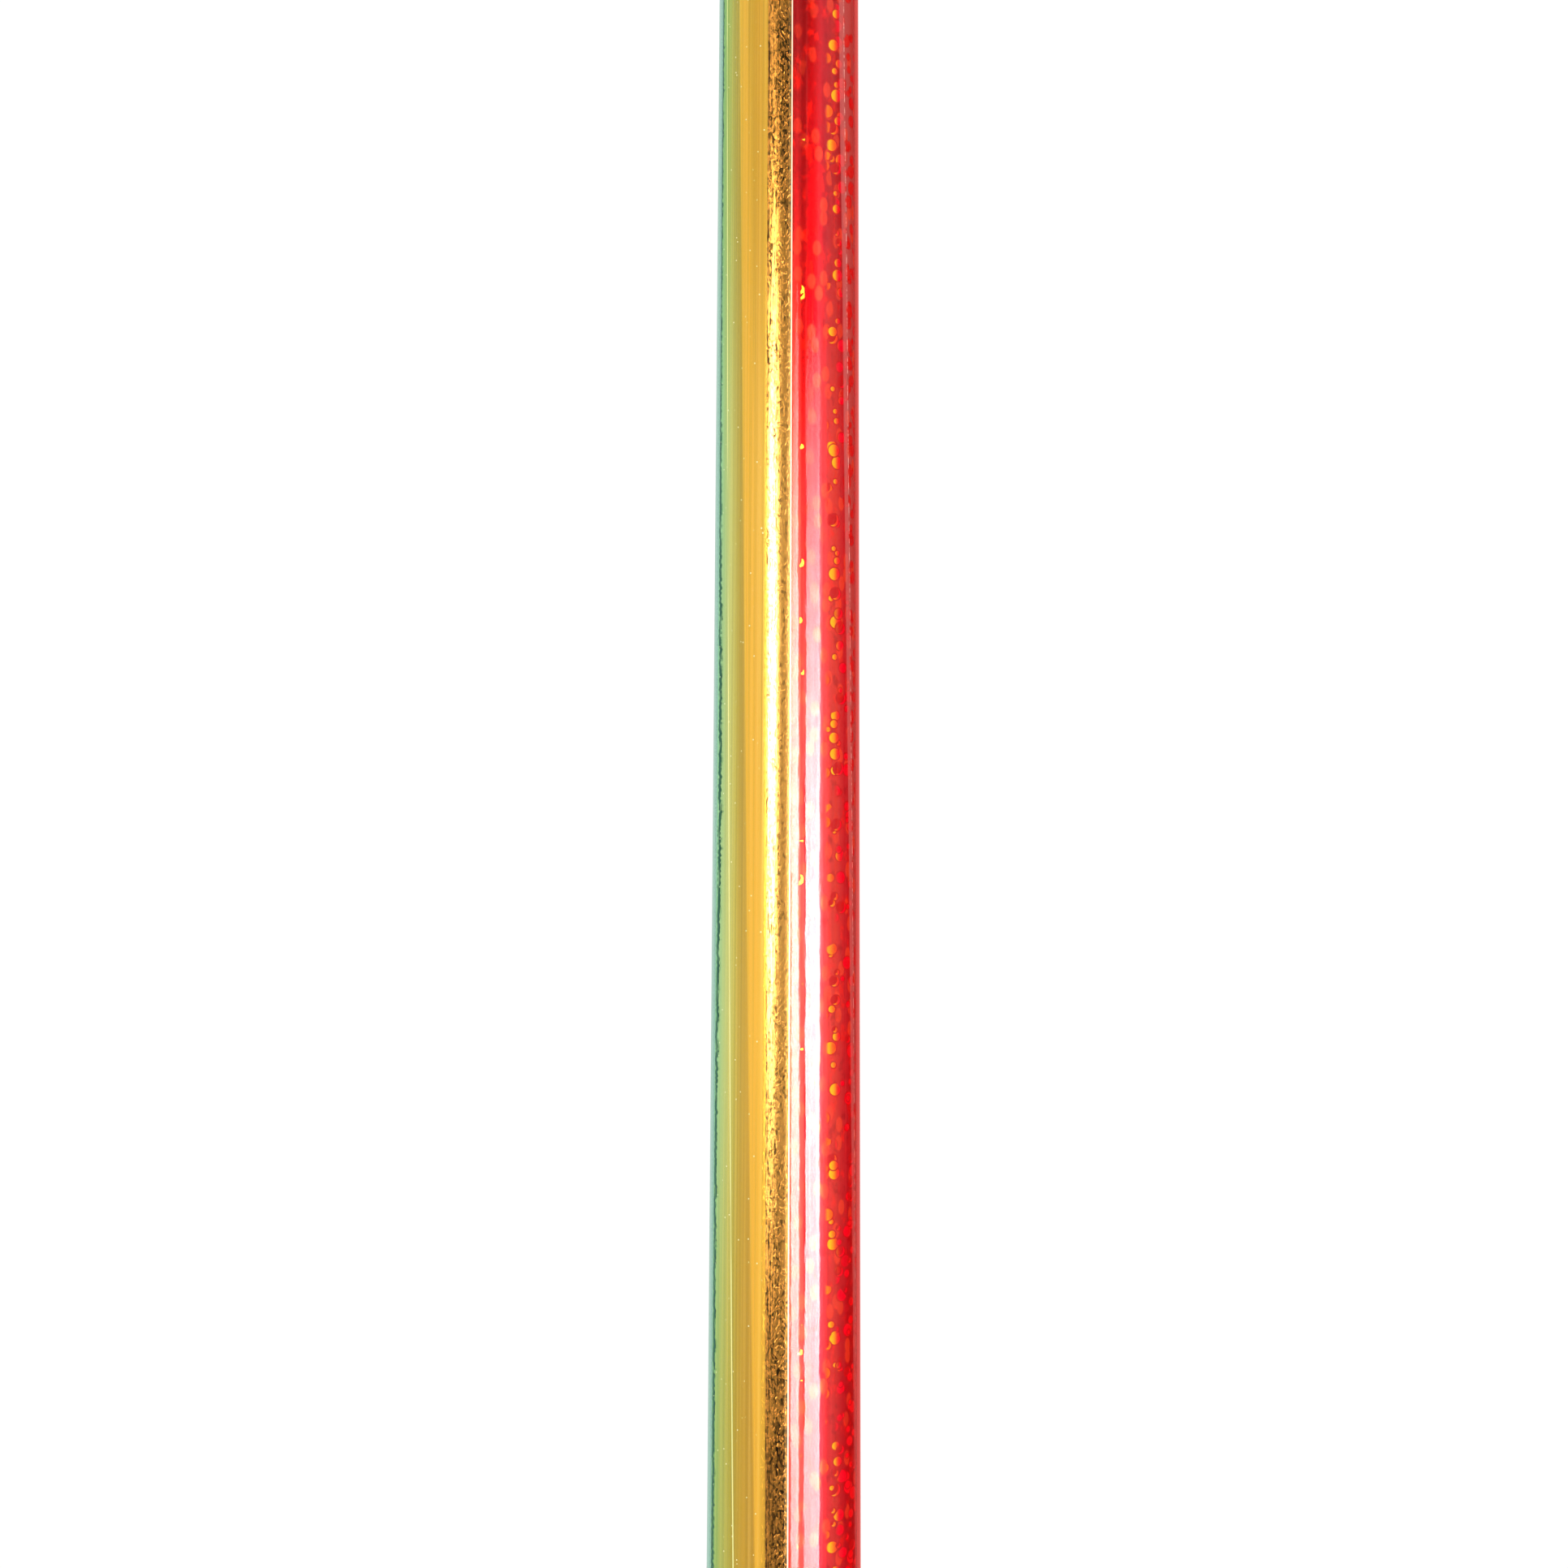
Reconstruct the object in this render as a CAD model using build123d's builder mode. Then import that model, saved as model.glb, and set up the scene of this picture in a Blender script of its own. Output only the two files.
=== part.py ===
from build123d import *

# Rhythmic gymnastics ribbon wand: a tapered glass-fibre stick wrapped in metallised films, with a rubber
# grip, a ball-bearing tip, a barrel swivel, a snap hook, and a satin ribbon rolled up for storage.
#
# Millimetres. +X runs along the stick towards its tip and +Z is up. The origin is on the stick's axis, at the
# middle of the grip. Everything lies on one flat surface, which is GRIP_RADIUS below the axis.

import os
from math import cos, radians, sin, sqrt

# Driving dimensions -----------------------------------------------------------------------------------------

# the stick: stations along its axis, and radii
GRIP_LENGTH = 100.0
GRIP_RADIUS = 5.0
GRIP_FRONT = GRIP_LENGTH / 2
GRIP_REAR = -GRIP_LENGTH / 2
BUTT_LENGTH = 10.0
WRAP_RADIUS = 4.5  # outside of the wrapped shaft where it leaves the grip
TAPER = 0.0099  # change in diameter per unit of length
WRAP_END = 516.0
FERRULE_REAR = 518.6
FERRULE_FRONT = 537.2
FERRULE_RADIUS = 3.0

# the wrapping: inner and outer offsets from the bare shaft, and angles round the axis from +Z towards -Y
FILM_LAYER = (0.01, 0.07)
SEAM_TAPE_LAYER = (0.08, 0.13)
OVERWRAP_LAYER = (0.15, 0.23)
FILM_SEAM = -8.0
SEAM_GAP = 0.5
FRONT_TAPE_EDGES = (-17.5, 2.8)
BACK_TAPE_EDGES = (162.0, 182.0)

# fits
GLUE_GAP = 0.02  # between a bonded part and what it is bonded to
RUNNING_CLEARANCE = 0.05  # between parts that turn on each other, on each side
PLAY = 0.05  # between a wire and the eye that it hangs in
BAR_CLEARANCE = 0.1  # between the hook's front bar and the strap round it

# the tip bearing
PIN_STEM_RADIUS = 1.0
PIN_HEAD_RADIUS = 2.0
HOUSING_RADIUS = 2.3
BALL_RADIUS = 0.5
BALL_COUNT = 8
BALL_CIRCLE_RADIUS = 1.55
BALL_STATION = 534.95
BALL_CLEARANCE = 0.02
TIP_EYE_STATION = 541.6
TIP_EYE_RADIUS = 2.3
TIP_EYE_WIRE = 0.6

# the linkage: wire radii, mean radii of the eyes, and distances from pivot to pivot
RING_RADIUS = 3.0
RING_WIRE = 0.5
EYE_RADIUS = 1.7
EYE_WIRE = 0.5
SWIVEL_PITCH = 15.0
BARREL_LENGTH = 8.0
BARREL_RADIUS = 2.2
HOOK_WIRE = 0.6
HOOK_LENGTH = 18.0
HOOK_REAR_HALF_WIDTH = 2.9
HOOK_FRONT_HALF_WIDTH = 4.4

# the snap's gate, on the hook's own plane, with X along the hook and Y across it
GATE_PIVOT = (5.0, -3.1)
GATE_TIP = (15.2, -3.17)
GATE_PIN_RADIUS = 0.4
GATE_EAR = (1.0, 1.4)  # distances of an ear's inner and outer faces from the hook's plane

# the ribbon
RIBBON_WIDTH = 50.0
SATIN = 0.15  # thickness of one layer
ROLL_RADIUS = 25.0
ROLL_BORE_RADIUS = 7.0
ROLL_FROM_STRAP = 92.0
POINT_LENGTH = 34.0  # the end that narrows to the strap
POINT_WIDTH = 7.0
STRAP_WIDTH = 5.2
STRAP = 0.5  # thickness of the strap's webbing
STRAP_LENGTH = 17.0
TIE_WIDTH = 6.0
TIE = 0.8  # thickness of the elastic

# heights of the surface and of the pivots, as the linkage sags from the tip to the surface
FLOOR = -GRIP_RADIUS
SWIVEL_HEIGHT = -1.5
HOOK_HEIGHT = -2.75
RIBBON_HEIGHT = FLOOR + STRAP + BAR_CLEARANCE + HOOK_WIRE


# Frames -----------------------------------------------------------------------------------------------------


def core_radius(station):
    """Radius of the bare shaft at a station along the axis."""
    return WRAP_RADIUS - OVERWRAP_LAYER[1] - TAPER / 2 * (station - GRIP_FRONT)


def radial_plane(angle):
    """The plane through the stick's axis whose Y points outwards at that angle round it."""
    turn = radians(angle)
    return Plane(origin=(0, 0, 0), x_dir=(1, 0, 0), z_dir=(0, -cos(turn), -sin(turn)))


def cross_section(station):
    """The plane square to the stick's axis at a station."""
    return Plane(origin=(station, 0, 0), x_dir=(0, 1, 0), z_dir=(1, 0, 0))


def next_pivot(pivot, distance, height):
    """The point that far from a pivot, further along the linkage and at that height."""
    return Vector(pivot.X + sqrt(distance**2 - (pivot.Z - height) ** 2), 0, height)


def flat_plane(start, end):
    """A link's plane that leans with it but lies level across it, with X from its first pivot to the next."""
    along = (end - start).normalized()
    return Plane(origin=start, x_dir=along, z_dir=along.cross(Vector(0, 1, 0)))


def upright_plane(start, end):
    """A link's upright plane, with X from its first pivot to the next."""
    return Plane(origin=start, x_dir=(end - start).normalized(), z_dir=(0, -1, 0))


def moved_plane(plane, x=0.0, y=0.0, z=0.0):
    """The same plane with its origin moved to a point given in its own coordinates."""
    return Plane(origin=plane.from_local_coords((x, y, z)), x_dir=plane.x_dir, z_dir=plane.z_dir)


TIP_EYE_REACH = TIP_EYE_RADIUS - TIP_EYE_WIRE - RING_WIRE - PLAY
RING_PIVOT = Vector(TIP_EYE_STATION + TIP_EYE_REACH, 0, 0)
SWIVEL_PIVOT = next_pivot(RING_PIVOT, 2 * RING_RADIUS, SWIVEL_HEIGHT)
HOOK_PIVOT = next_pivot(SWIVEL_PIVOT, SWIVEL_PITCH, HOOK_HEIGHT)
RIBBON_PIVOT = next_pivot(HOOK_PIVOT, HOOK_LENGTH, RIBBON_HEIGHT)
RING_FLAT = flat_plane(RING_PIVOT, SWIVEL_PIVOT)
SWIVEL_UPRIGHT = upright_plane(SWIVEL_PIVOT, HOOK_PIVOT)
HOOK_FLAT = flat_plane(HOOK_PIVOT, RIBBON_PIVOT)
HINGE_PLANE = moved_plane(HOOK_FLAT, *GATE_PIVOT)


def write(part, node):
    """Labels a finished piece and writes it under its node's name."""
    part.label = node
    export_step(part, f"parts/{node}.step")


def turned(profile, plane=Plane.XZ):
    """The solid that a closed profile sweeps round the X direction of its plane."""
    with BuildPart() as solid:
        with BuildSketch(plane):
            with BuildLine():
                Polyline(*profile, close=True)
            make_face()
        revolve(axis=Axis(plane.origin, plane.x_dir))
    return solid.part


# The stick --------------------------------------------------------------------------------------------------

CAP_END_WALL = 4.0  # the butt cap's thickness behind the rod
SEAT_STEP = 0.6  # how far behind the ferrule the rod's straight seat starts
SEAT_DEPTH = 12.6  # how far the rod goes into the ferrule
FILM_START_GAP = 0.2  # between the grip and the films' rear ends

BUTT_END = GRIP_REAR - BUTT_LENGTH
CORE_REAR = BUTT_END + CAP_END_WALL
HANDLE_CORE_RADIUS = core_radius(GRIP_FRONT)
BORE_RADIUS = HANDLE_CORE_RADIUS + GLUE_GAP
TIP_SEAT_REAR = FERRULE_REAR - SEAT_STEP
TIP_SEAT_FRONT = FERRULE_REAR + SEAT_DEPTH
TIP_SEAT_RADIUS = core_radius(TIP_SEAT_REAR)
FILM_SPAN = (GRIP_FRONT + FILM_START_GAP, WRAP_END)


def make_shaft():
    """Solid glass-fibre rod: straight under the grip, one long taper, and a short straight seat at its tip."""
    return turned(
        [
            (CORE_REAR, 0),
            (TIP_SEAT_FRONT, 0),
            (TIP_SEAT_FRONT, TIP_SEAT_RADIUS),
            (TIP_SEAT_REAR, TIP_SEAT_RADIUS),
            (GRIP_FRONT, HANDLE_CORE_RADIUS),
            (CORE_REAR, HANDLE_CORE_RADIUS),
        ]
    )


def make_film(layer, first_angle, last_angle):
    """A film laid along the whole taper, from one angle round the shaft to another."""
    inner, outer = layer
    start, end = FILM_SPAN
    with BuildPart() as film:
        with BuildSketch(radial_plane(first_angle)):
            with BuildLine():
                Polyline(
                    (start, core_radius(start) + inner),
                    (end, core_radius(end) + inner),
                    (end, core_radius(end) + outer),
                    (start, core_radius(start) + outer),
                    close=True,
                )
            make_face()
        revolve(axis=Axis.X, revolution_arc=last_angle - first_angle)
    return film.part


GROOVE_DEPTH = 0.3
GROOVE_WIDTH = 1.0
GROOVE_PITCH = 2.4
GROOVES_AT_EACH_END = 3
FIRST_GROOVE = 2.2
GRIP_ROUNDING = 0.35
RIM_TOLERANCE = 0.01  # when picking the circles of an outer surface by their radius


def outer_rims(part, radius):
    """The circular edges of a turned part that lie on its outer surface."""
    circles = part.edges().filter_by(GeomType.CIRCLE)
    return circles.filter_by(lambda rim: rim.radius > radius - RIM_TOLERANCE)


def make_grip_sleeve():
    """Rubber tube with three finger-stop grooves at each end and a plain stretch between them."""
    with BuildPart() as sleeve:
        with BuildSketch(Plane.XZ):
            with Locations((GRIP_REAR, BORE_RADIUS)):
                Rectangle(GRIP_LENGTH, GRIP_RADIUS - BORE_RADIUS, align=(Align.MIN, Align.MIN))
            for index in range(GROOVES_AT_EACH_END):
                inset = FIRST_GROOVE + index * GROOVE_PITCH
                with Locations((GRIP_REAR + inset, GRIP_RADIUS), (GRIP_FRONT - inset, GRIP_RADIUS)):
                    Rectangle(GROOVE_WIDTH, 2 * GROOVE_DEPTH, mode=Mode.SUBTRACT)
        revolve(axis=Axis.X)
        rims = outer_rims(sleeve, GRIP_RADIUS).sort_by(Axis.X)
        fillet([rims[0], rims[-1]], GRIP_ROUNDING)
    return sleeve.part


CAP_RADIUS = 4.75
CAP_ROUNDING = 1.2
RECESS_RADIUS = 3.3
RECESS_DEPTH = 0.9
INLAY_RIM_DEPTH = 0.45  # how far the inlay's rim and its crown lie inside the cap's end
INLAY_CROWN_DEPTH = 0.1
JOINT_GAP = 0.05  # between the ends of neighbouring parts along the stick


def make_butt_cap():
    """Moulded cup over the rod's end, rounded behind, with a round recess for the inlay."""
    with BuildPart() as cap:
        with BuildSketch(Plane.XZ):
            with BuildLine():
                Polyline(
                    (BUTT_END, 0),
                    (BUTT_END, CAP_RADIUS),
                    (GRIP_REAR - JOINT_GAP, CAP_RADIUS),
                    (GRIP_REAR - JOINT_GAP, BORE_RADIUS),
                    (CORE_REAR - JOINT_GAP, BORE_RADIUS),
                    (CORE_REAR - JOINT_GAP, 0),
                    close=True,
                )
            make_face()
        revolve(axis=Axis.X)
        fillet(cap.edges().filter_by(GeomType.CIRCLE).group_by(Axis.X)[0], CAP_ROUNDING)
        with BuildSketch(cross_section(BUTT_END)):
            Circle(RECESS_RADIUS)
        extrude(amount=RECESS_DEPTH, mode=Mode.SUBTRACT)
    return cap.part


def make_butt_inlay():
    """Polished disc set into the cap's recess, with a slightly domed face."""
    floor = BUTT_END + RECESS_DEPTH - GLUE_GAP
    rim_radius = RECESS_RADIUS - 2 * GLUE_GAP
    rim = (BUTT_END + INLAY_RIM_DEPTH, rim_radius)
    crown = (BUTT_END + INLAY_CROWN_DEPTH, 0)
    with BuildPart() as inlay:
        with BuildSketch(Plane.XZ):
            with BuildLine():
                TangentArc(crown, rim, tangent=(0, 1))
                Polyline(rim, (floor, rim_radius), (floor, 0), crown)
            make_face()
        revolve(axis=Axis.X)
    return inlay.part


BAND_GAP = 0.3  # between the grip and the band
BAND_START = GRIP_FRONT + BAND_GAP
BAND_LENGTH = 4.0
BAND_CHAMFER = 0.2


def make_grip_band():
    """Metal ring in front of the grip, over the films' cut ends."""
    inner = WRAP_RADIUS + GLUE_GAP
    with BuildPart() as band:
        with BuildSketch(Plane.XZ):
            with Locations((BAND_START, inner)):
                Rectangle(BAND_LENGTH, CAP_RADIUS - inner, align=(Align.MIN, Align.MIN))
        revolve(axis=Axis.X)
        chamfer(outer_rims(band, CAP_RADIUS), BAND_CHAMFER)
    return band.part


COLLAR_LENGTH = 10.5
COLLAR_WALL = 0.3
COLLAR_GAP = 0.1  # between the collar and the ferrule
COLLAR_BORE_STEP = (0.1, 0.4)  # where its bore comes down past the films' front ends, counted from them
COLLAR_OUTER_STEP = (-0.2, 0.6)  # where its outside comes down
COLLAR_THINNING = 0.1  # how much thinner its wall is at the foot of the step
COLLAR_REAR_TAPER = 0.15


def make_shrink_collar():
    """Heat-shrink sleeve over the films' front ends, drawn down onto the bare rod."""
    front = FERRULE_REAR - COLLAR_GAP
    rear = front - COLLAR_LENGTH
    over_films = OVERWRAP_LAYER[1] + GLUE_GAP
    rear_radius = core_radius(rear) + over_films
    step_radius = core_radius(WRAP_END) + over_films
    bare_radius = TIP_SEAT_RADIUS + GLUE_GAP
    return turned(
        [
            (rear, rear_radius),
            (WRAP_END + COLLAR_BORE_STEP[0], step_radius),
            (WRAP_END + COLLAR_BORE_STEP[1], bare_radius + GLUE_GAP),
            (front, bare_radius),
            (front, bare_radius + COLLAR_WALL),
            (WRAP_END + COLLAR_OUTER_STEP[1], step_radius + COLLAR_WALL - COLLAR_THINNING),
            (WRAP_END + COLLAR_OUTER_STEP[0], step_radius + COLLAR_WALL),
            (rear + COLLAR_REAR_TAPER, rear_radius + COLLAR_WALL),
            (rear, rear_radius + COLLAR_WALL / 2),
        ]
    )


# The tip bearing --------------------------------------------------------------------------------------------

HOUSING_INSET = 14.1  # how far inside the ferrule's rear end the bearing's bore starts
HOUSING_REAR = FERRULE_REAR + HOUSING_INSET
CAP_REAR_FACE = BALL_STATION + BALL_RADIUS + BALL_CLEARANCE
HEAD_FRONT_FACE = BALL_STATION - BALL_RADIUS - BALL_CLEARANCE
FERRULE_GROOVES = (3.0, 4.6, 6.2)
FERRULE_GROOVE_RADIUS = 0.4
FERRULE_ROUNDING = 0.7
SEAT_END_GAP = 0.1  # between the rod's end and the bottom of its bore
CAP_FLANGE = 1.0
CAP_FLANGE_RADIUS = 2.6
CAP_FLANGE_GAP = 0.01  # between the flange and the ferrule's front face
CAP_FLANGE_CHAMFER = (0.3, 0.4)  # along the axis, and radially
PIN_END_GAP = 0.3  # between the pin's head and the bottom of the housing
NECK_CONE = (-0.3, 0.2)  # where the stem narrows into the eye, counted from the eye's rear
NECK_RADIUS = 0.7


def make_ferrule():
    """Turned metal cup: the rod is glued into its rear bore and the bearing runs in its front bore."""
    corner = (Align.MIN, Align.MIN)
    with BuildPart() as ferrule:
        with BuildSketch(Plane.XZ):
            with Locations((FERRULE_REAR, 0)):
                Rectangle(FERRULE_FRONT - FERRULE_REAR, FERRULE_RADIUS, align=corner)
                seat = SEAT_DEPTH + SEAT_END_GAP
                Rectangle(seat, TIP_SEAT_RADIUS + GLUE_GAP, align=corner, mode=Mode.SUBTRACT)
            with Locations((HOUSING_REAR, 0)):
                Rectangle(FERRULE_FRONT - HOUSING_REAR, HOUSING_RADIUS, align=corner, mode=Mode.SUBTRACT)
            with Locations([(FERRULE_REAR + station, FERRULE_RADIUS) for station in FERRULE_GROOVES]):
                Circle(FERRULE_GROOVE_RADIUS, mode=Mode.SUBTRACT)
        revolve(axis=Axis.X)
        fillet(outer_rims(ferrule, FERRULE_RADIUS).sort_by(Axis.X)[0], FERRULE_ROUNDING)
    return ferrule.part


def make_ferrule_cap():
    """Flanged bush that closes the housing, retains the balls and guides the pin."""
    bore = PIN_STEM_RADIUS + RUNNING_CLEARANCE
    flange_rear = FERRULE_FRONT + CAP_FLANGE_GAP
    flange_front = FERRULE_FRONT + CAP_FLANGE
    return turned(
        [
            (CAP_REAR_FACE, bore),
            (flange_front, bore),
            (flange_front, CAP_FLANGE_RADIUS - CAP_FLANGE_CHAMFER[1]),
            (flange_front - CAP_FLANGE_CHAMFER[0], CAP_FLANGE_RADIUS),
            (flange_rear, CAP_FLANGE_RADIUS),
            (flange_rear, HOUSING_RADIUS - GLUE_GAP),
            (CAP_REAR_FACE, HOUSING_RADIUS - GLUE_GAP),
        ]
    )


def make_bearing_balls():
    """Ring of separate steel balls between the pin's head and the cap."""
    with BuildPart() as balls:
        with Locations(cross_section(BALL_STATION)):
            with PolarLocations(BALL_CIRCLE_RADIUS, BALL_COUNT):
                Sphere(BALL_RADIUS)
    return balls.part


def make_tip_pin():
    """Pin with a flat head inside the housing and a wire eye outside it."""
    eye_rear = TIP_EYE_STATION - TIP_EYE_RADIUS
    head_rear_face = HOUSING_REAR + PIN_END_GAP
    with BuildPart() as pin:
        with BuildSketch(Plane.XZ):
            with BuildLine():
                Polyline(
                    (head_rear_face, 0),
                    (head_rear_face, PIN_HEAD_RADIUS),
                    (HEAD_FRONT_FACE, PIN_HEAD_RADIUS),
                    (HEAD_FRONT_FACE, PIN_STEM_RADIUS),
                    (eye_rear + NECK_CONE[0], PIN_STEM_RADIUS),
                    (eye_rear + NECK_CONE[1], NECK_RADIUS),
                    (eye_rear + NECK_CONE[1], 0),
                    close=True,
                )
            make_face()
        revolve(axis=Axis.X)
        with Locations(Plane(origin=(TIP_EYE_STATION, 0, 0), x_dir=(1, 0, 0), z_dir=(0, -1, 0))):
            Torus(TIP_EYE_RADIUS, TIP_EYE_WIRE)
    return pin.part


# The linkage ------------------------------------------------------------------------------------------------

REAR_EYE_CENTRE = EYE_RADIUS - EYE_WIRE - RING_WIRE - PLAY
FRONT_EYE_CENTRE = SWIVEL_PITCH - (EYE_RADIUS - EYE_WIRE - HOOK_WIRE - PLAY)
BARREL_REAR = (REAR_EYE_CENTRE + FRONT_EYE_CENTRE - BARREL_LENGTH) / 2
BARREL_FRONT = BARREL_REAR + BARREL_LENGTH
BARREL_END_WALL = 0.9
BARREL_SHOULDER = 1.4
BARREL_MOUTH_RADIUS = 1.3
BARREL_WALL = 0.5
BARREL_GROOVE_INSET = 2.6
BARREL_GROOVE_RADIUS = 0.25
STEM_RADIUS = 0.6
STEM_HEAD_RADIUS = 1.3
STEM_HEAD = 0.8
STEM_HEAD_ROOM = 0.15  # round the stem's head, inside the barrel
STEM_OVERLAP = 0.1  # how far the stem enters the eye's wire


def make_jump_ring():
    """Closed ring through the tip's eye and the swivel's rear eye."""
    with BuildPart() as ring:
        with Locations(moved_plane(RING_FLAT, x=RING_RADIUS)):
            Torus(RING_RADIUS, RING_WIRE)
    return ring.part


def make_swivel_eye(centre, wall_face, way):
    """A wire eye whose stem passes through one end wall of the barrel to a flat head behind that wall.

    centre and wall_face are distances along the swivel, and way is 1 where the barrel lies further on."""
    stem_start = centre + way * (EYE_RADIUS - STEM_OVERLAP)
    head_near = wall_face + way * RUNNING_CLEARANCE
    head_far = head_near + way * STEM_HEAD
    with BuildPart() as eye:
        with BuildSketch(SWIVEL_UPRIGHT):
            with BuildLine():
                Polyline(
                    (stem_start, 0),
                    (stem_start, STEM_RADIUS),
                    (head_near, STEM_RADIUS),
                    (head_near, STEM_HEAD_RADIUS),
                    (head_far, STEM_HEAD_RADIUS),
                    (head_far, 0),
                    close=True,
                )
            make_face()
        revolve(axis=Axis(SWIVEL_UPRIGHT.origin, SWIVEL_UPRIGHT.x_dir))
        with Locations(moved_plane(SWIVEL_UPRIGHT, x=centre)):
            Torus(EYE_RADIUS, EYE_WIRE)
    return eye.part


def make_swivel_barrel():
    """Swaged barrel: hollow, with a hole in each end wall, sloping shoulders and two rolled grooves."""
    bore = STEM_RADIUS + RUNNING_CLEARANCE
    head_room = STEM_HEAD_RADIUS + STEM_HEAD_ROOM
    inner = BARREL_RADIUS - BARREL_WALL
    rear_groove = BARREL_REAR + BARREL_GROOVE_INSET
    front_groove = BARREL_FRONT - BARREL_GROOVE_INSET
    with BuildPart() as barrel:
        with BuildSketch(SWIVEL_UPRIGHT):
            with BuildLine():
                Polyline(
                    (BARREL_REAR, bore),
                    (BARREL_REAR, BARREL_MOUTH_RADIUS),
                    (BARREL_REAR + BARREL_SHOULDER, BARREL_RADIUS),
                    (BARREL_FRONT - BARREL_SHOULDER, BARREL_RADIUS),
                    (BARREL_FRONT, BARREL_MOUTH_RADIUS),
                    (BARREL_FRONT, bore),
                    (BARREL_FRONT - BARREL_END_WALL, bore),
                    (BARREL_FRONT - BARREL_END_WALL, head_room),
                    (BARREL_FRONT - BARREL_END_WALL - BARREL_SHOULDER, inner),
                    (BARREL_REAR + BARREL_END_WALL + BARREL_SHOULDER, inner),
                    (BARREL_REAR + BARREL_END_WALL, head_room),
                    (BARREL_REAR + BARREL_END_WALL, bore),
                    close=True,
                )
            make_face()
            with Locations((rear_groove, BARREL_RADIUS), (front_groove, BARREL_RADIUS)):
                Circle(BARREL_GROOVE_RADIUS, mode=Mode.SUBTRACT)
        revolve(axis=Axis(SWIVEL_UPRIGHT.origin, SWIVEL_UPRIGHT.x_dir))
    return barrel.part


# The snap hook: a D of wire with a hinged gate in one side --------------------------------------------------

REAR_BEND = 2.5
FRONT_BEND = 1.6
NOSE_STATION = 14.3
BOSS_RADIUS = 0.95
NOSE_ROUNDING = 0.3
BOSS = (-0.95, -0.05)  # distances of the boss's faces from the hook's plane
BOSS_RIM = 0.1  # how much wider than the boss the wire is cut away above it
GATE_HUB_RADIUS = 1.0
GATE_TIP_RADIUS = 0.55
GATE_TIP_WALL = 0.5
GATE_WEB = 0.3
GATE_MOUTH = 2.0  # depth of the cut that opens the channel's inner side
GATE_BOSS_ROOM = 0.25  # round the boss, inside the gate
RIVET_HEAD = 0.25
RIVET_HEAD_RADIUS = 0.75
RIVET_GAP = 0.03  # between the rivet's heads and the gate's ears
SPRING_WIRE = 0.13
SPRING_RADIUS = 0.65
SPRING_PITCH = 0.29
SPRING_TURNS = 2
SPRING_LEVEL = 0.22  # height of its first turn over the hook's plane
SPRING_LEG = ((0.63, 0), (2.4, -0.3))  # from the coil's side along the gate's web


def make_hook_frame():
    """One bent wire: from the gate's hinge round the rear bow, up the long side and over the front bar to the
    nose. The wire's hinge end is a flat drilled boss, half as thick as the room between the gate's ears."""
    with BuildPart() as hook:
        with BuildLine(HOOK_FLAT) as path:
            FilletPolyline(
                GATE_PIVOT,
                (0, -HOOK_REAR_HALF_WIDTH),
                (0, HOOK_REAR_HALF_WIDTH),
                (HOOK_LENGTH, HOOK_FRONT_HALF_WIDTH),
                (HOOK_LENGTH, -HOOK_FRONT_HALF_WIDTH),
                (NOSE_STATION, -HOOK_FRONT_HALF_WIDTH),
                radius=[REAR_BEND, REAR_BEND, FRONT_BEND, FRONT_BEND],
            )
        with BuildSketch(Plane(origin=path.line @ 0, z_dir=path.line % 0)):
            Circle(HOOK_WIRE)
        sweep()
        with BuildSketch(HINGE_PLANE.offset(BOSS[1])):
            Circle(BOSS_RADIUS + BOSS_RIM)
        extrude(amount=2 * HOOK_WIRE, mode=Mode.SUBTRACT)
        with BuildSketch(HINGE_PLANE.offset(BOSS[0])):
            Circle(BOSS_RADIUS)
        extrude(amount=BOSS[1] - BOSS[0])
        with BuildSketch(HINGE_PLANE):
            Circle(GATE_PIN_RADIUS + GLUE_GAP)
        extrude(amount=2 * HOOK_WIRE, both=True, mode=Mode.SUBTRACT)
        nose_point = HOOK_FLAT.from_local_coords((NOSE_STATION, -HOOK_FRONT_HALF_WIDTH, 0))
        nose = hook.faces().filter_by(GeomType.PLANE).sort_by_distance(nose_point)[0]
        fillet(nose.edges(), NOSE_ROUNDING)
    return hook.part


def make_gate():
    """Folded sheet channel: two ears on the pin, joined by a web on the outer side and a closed tip."""
    inner, outer = GATE_EAR
    channel_end = GATE_TIP[0] - GATE_TIP_WALL
    with BuildPart() as gate:
        with BuildSketch(HOOK_FLAT.offset(-outer)):
            with Locations(GATE_PIVOT):
                Circle(GATE_HUB_RADIUS)
            with Locations(GATE_TIP):
                Circle(GATE_TIP_RADIUS)
            make_hull()
        extrude(amount=2 * outer)
        with BuildSketch(HOOK_FLAT.offset(-inner)):
            with Locations(GATE_PIVOT):
                Circle(GATE_HUB_RADIUS - GATE_WEB)
            with Locations((channel_end, GATE_TIP[1])):
                Circle(GATE_TIP_RADIUS - GATE_WEB)
            make_hull()
            with Locations(GATE_PIVOT):
                Rectangle(channel_end - GATE_PIVOT[0], GATE_MOUTH, align=(Align.MIN, Align.MIN))
                Circle(BOSS_RADIUS + GATE_BOSS_ROOM)
        extrude(amount=2 * inner, mode=Mode.SUBTRACT)
        with BuildSketch(HINGE_PLANE):
            Circle(GATE_PIN_RADIUS + RUNNING_CLEARANCE)
        extrude(amount=2 * outer, both=True, mode=Mode.SUBTRACT)
    return gate.part


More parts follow.
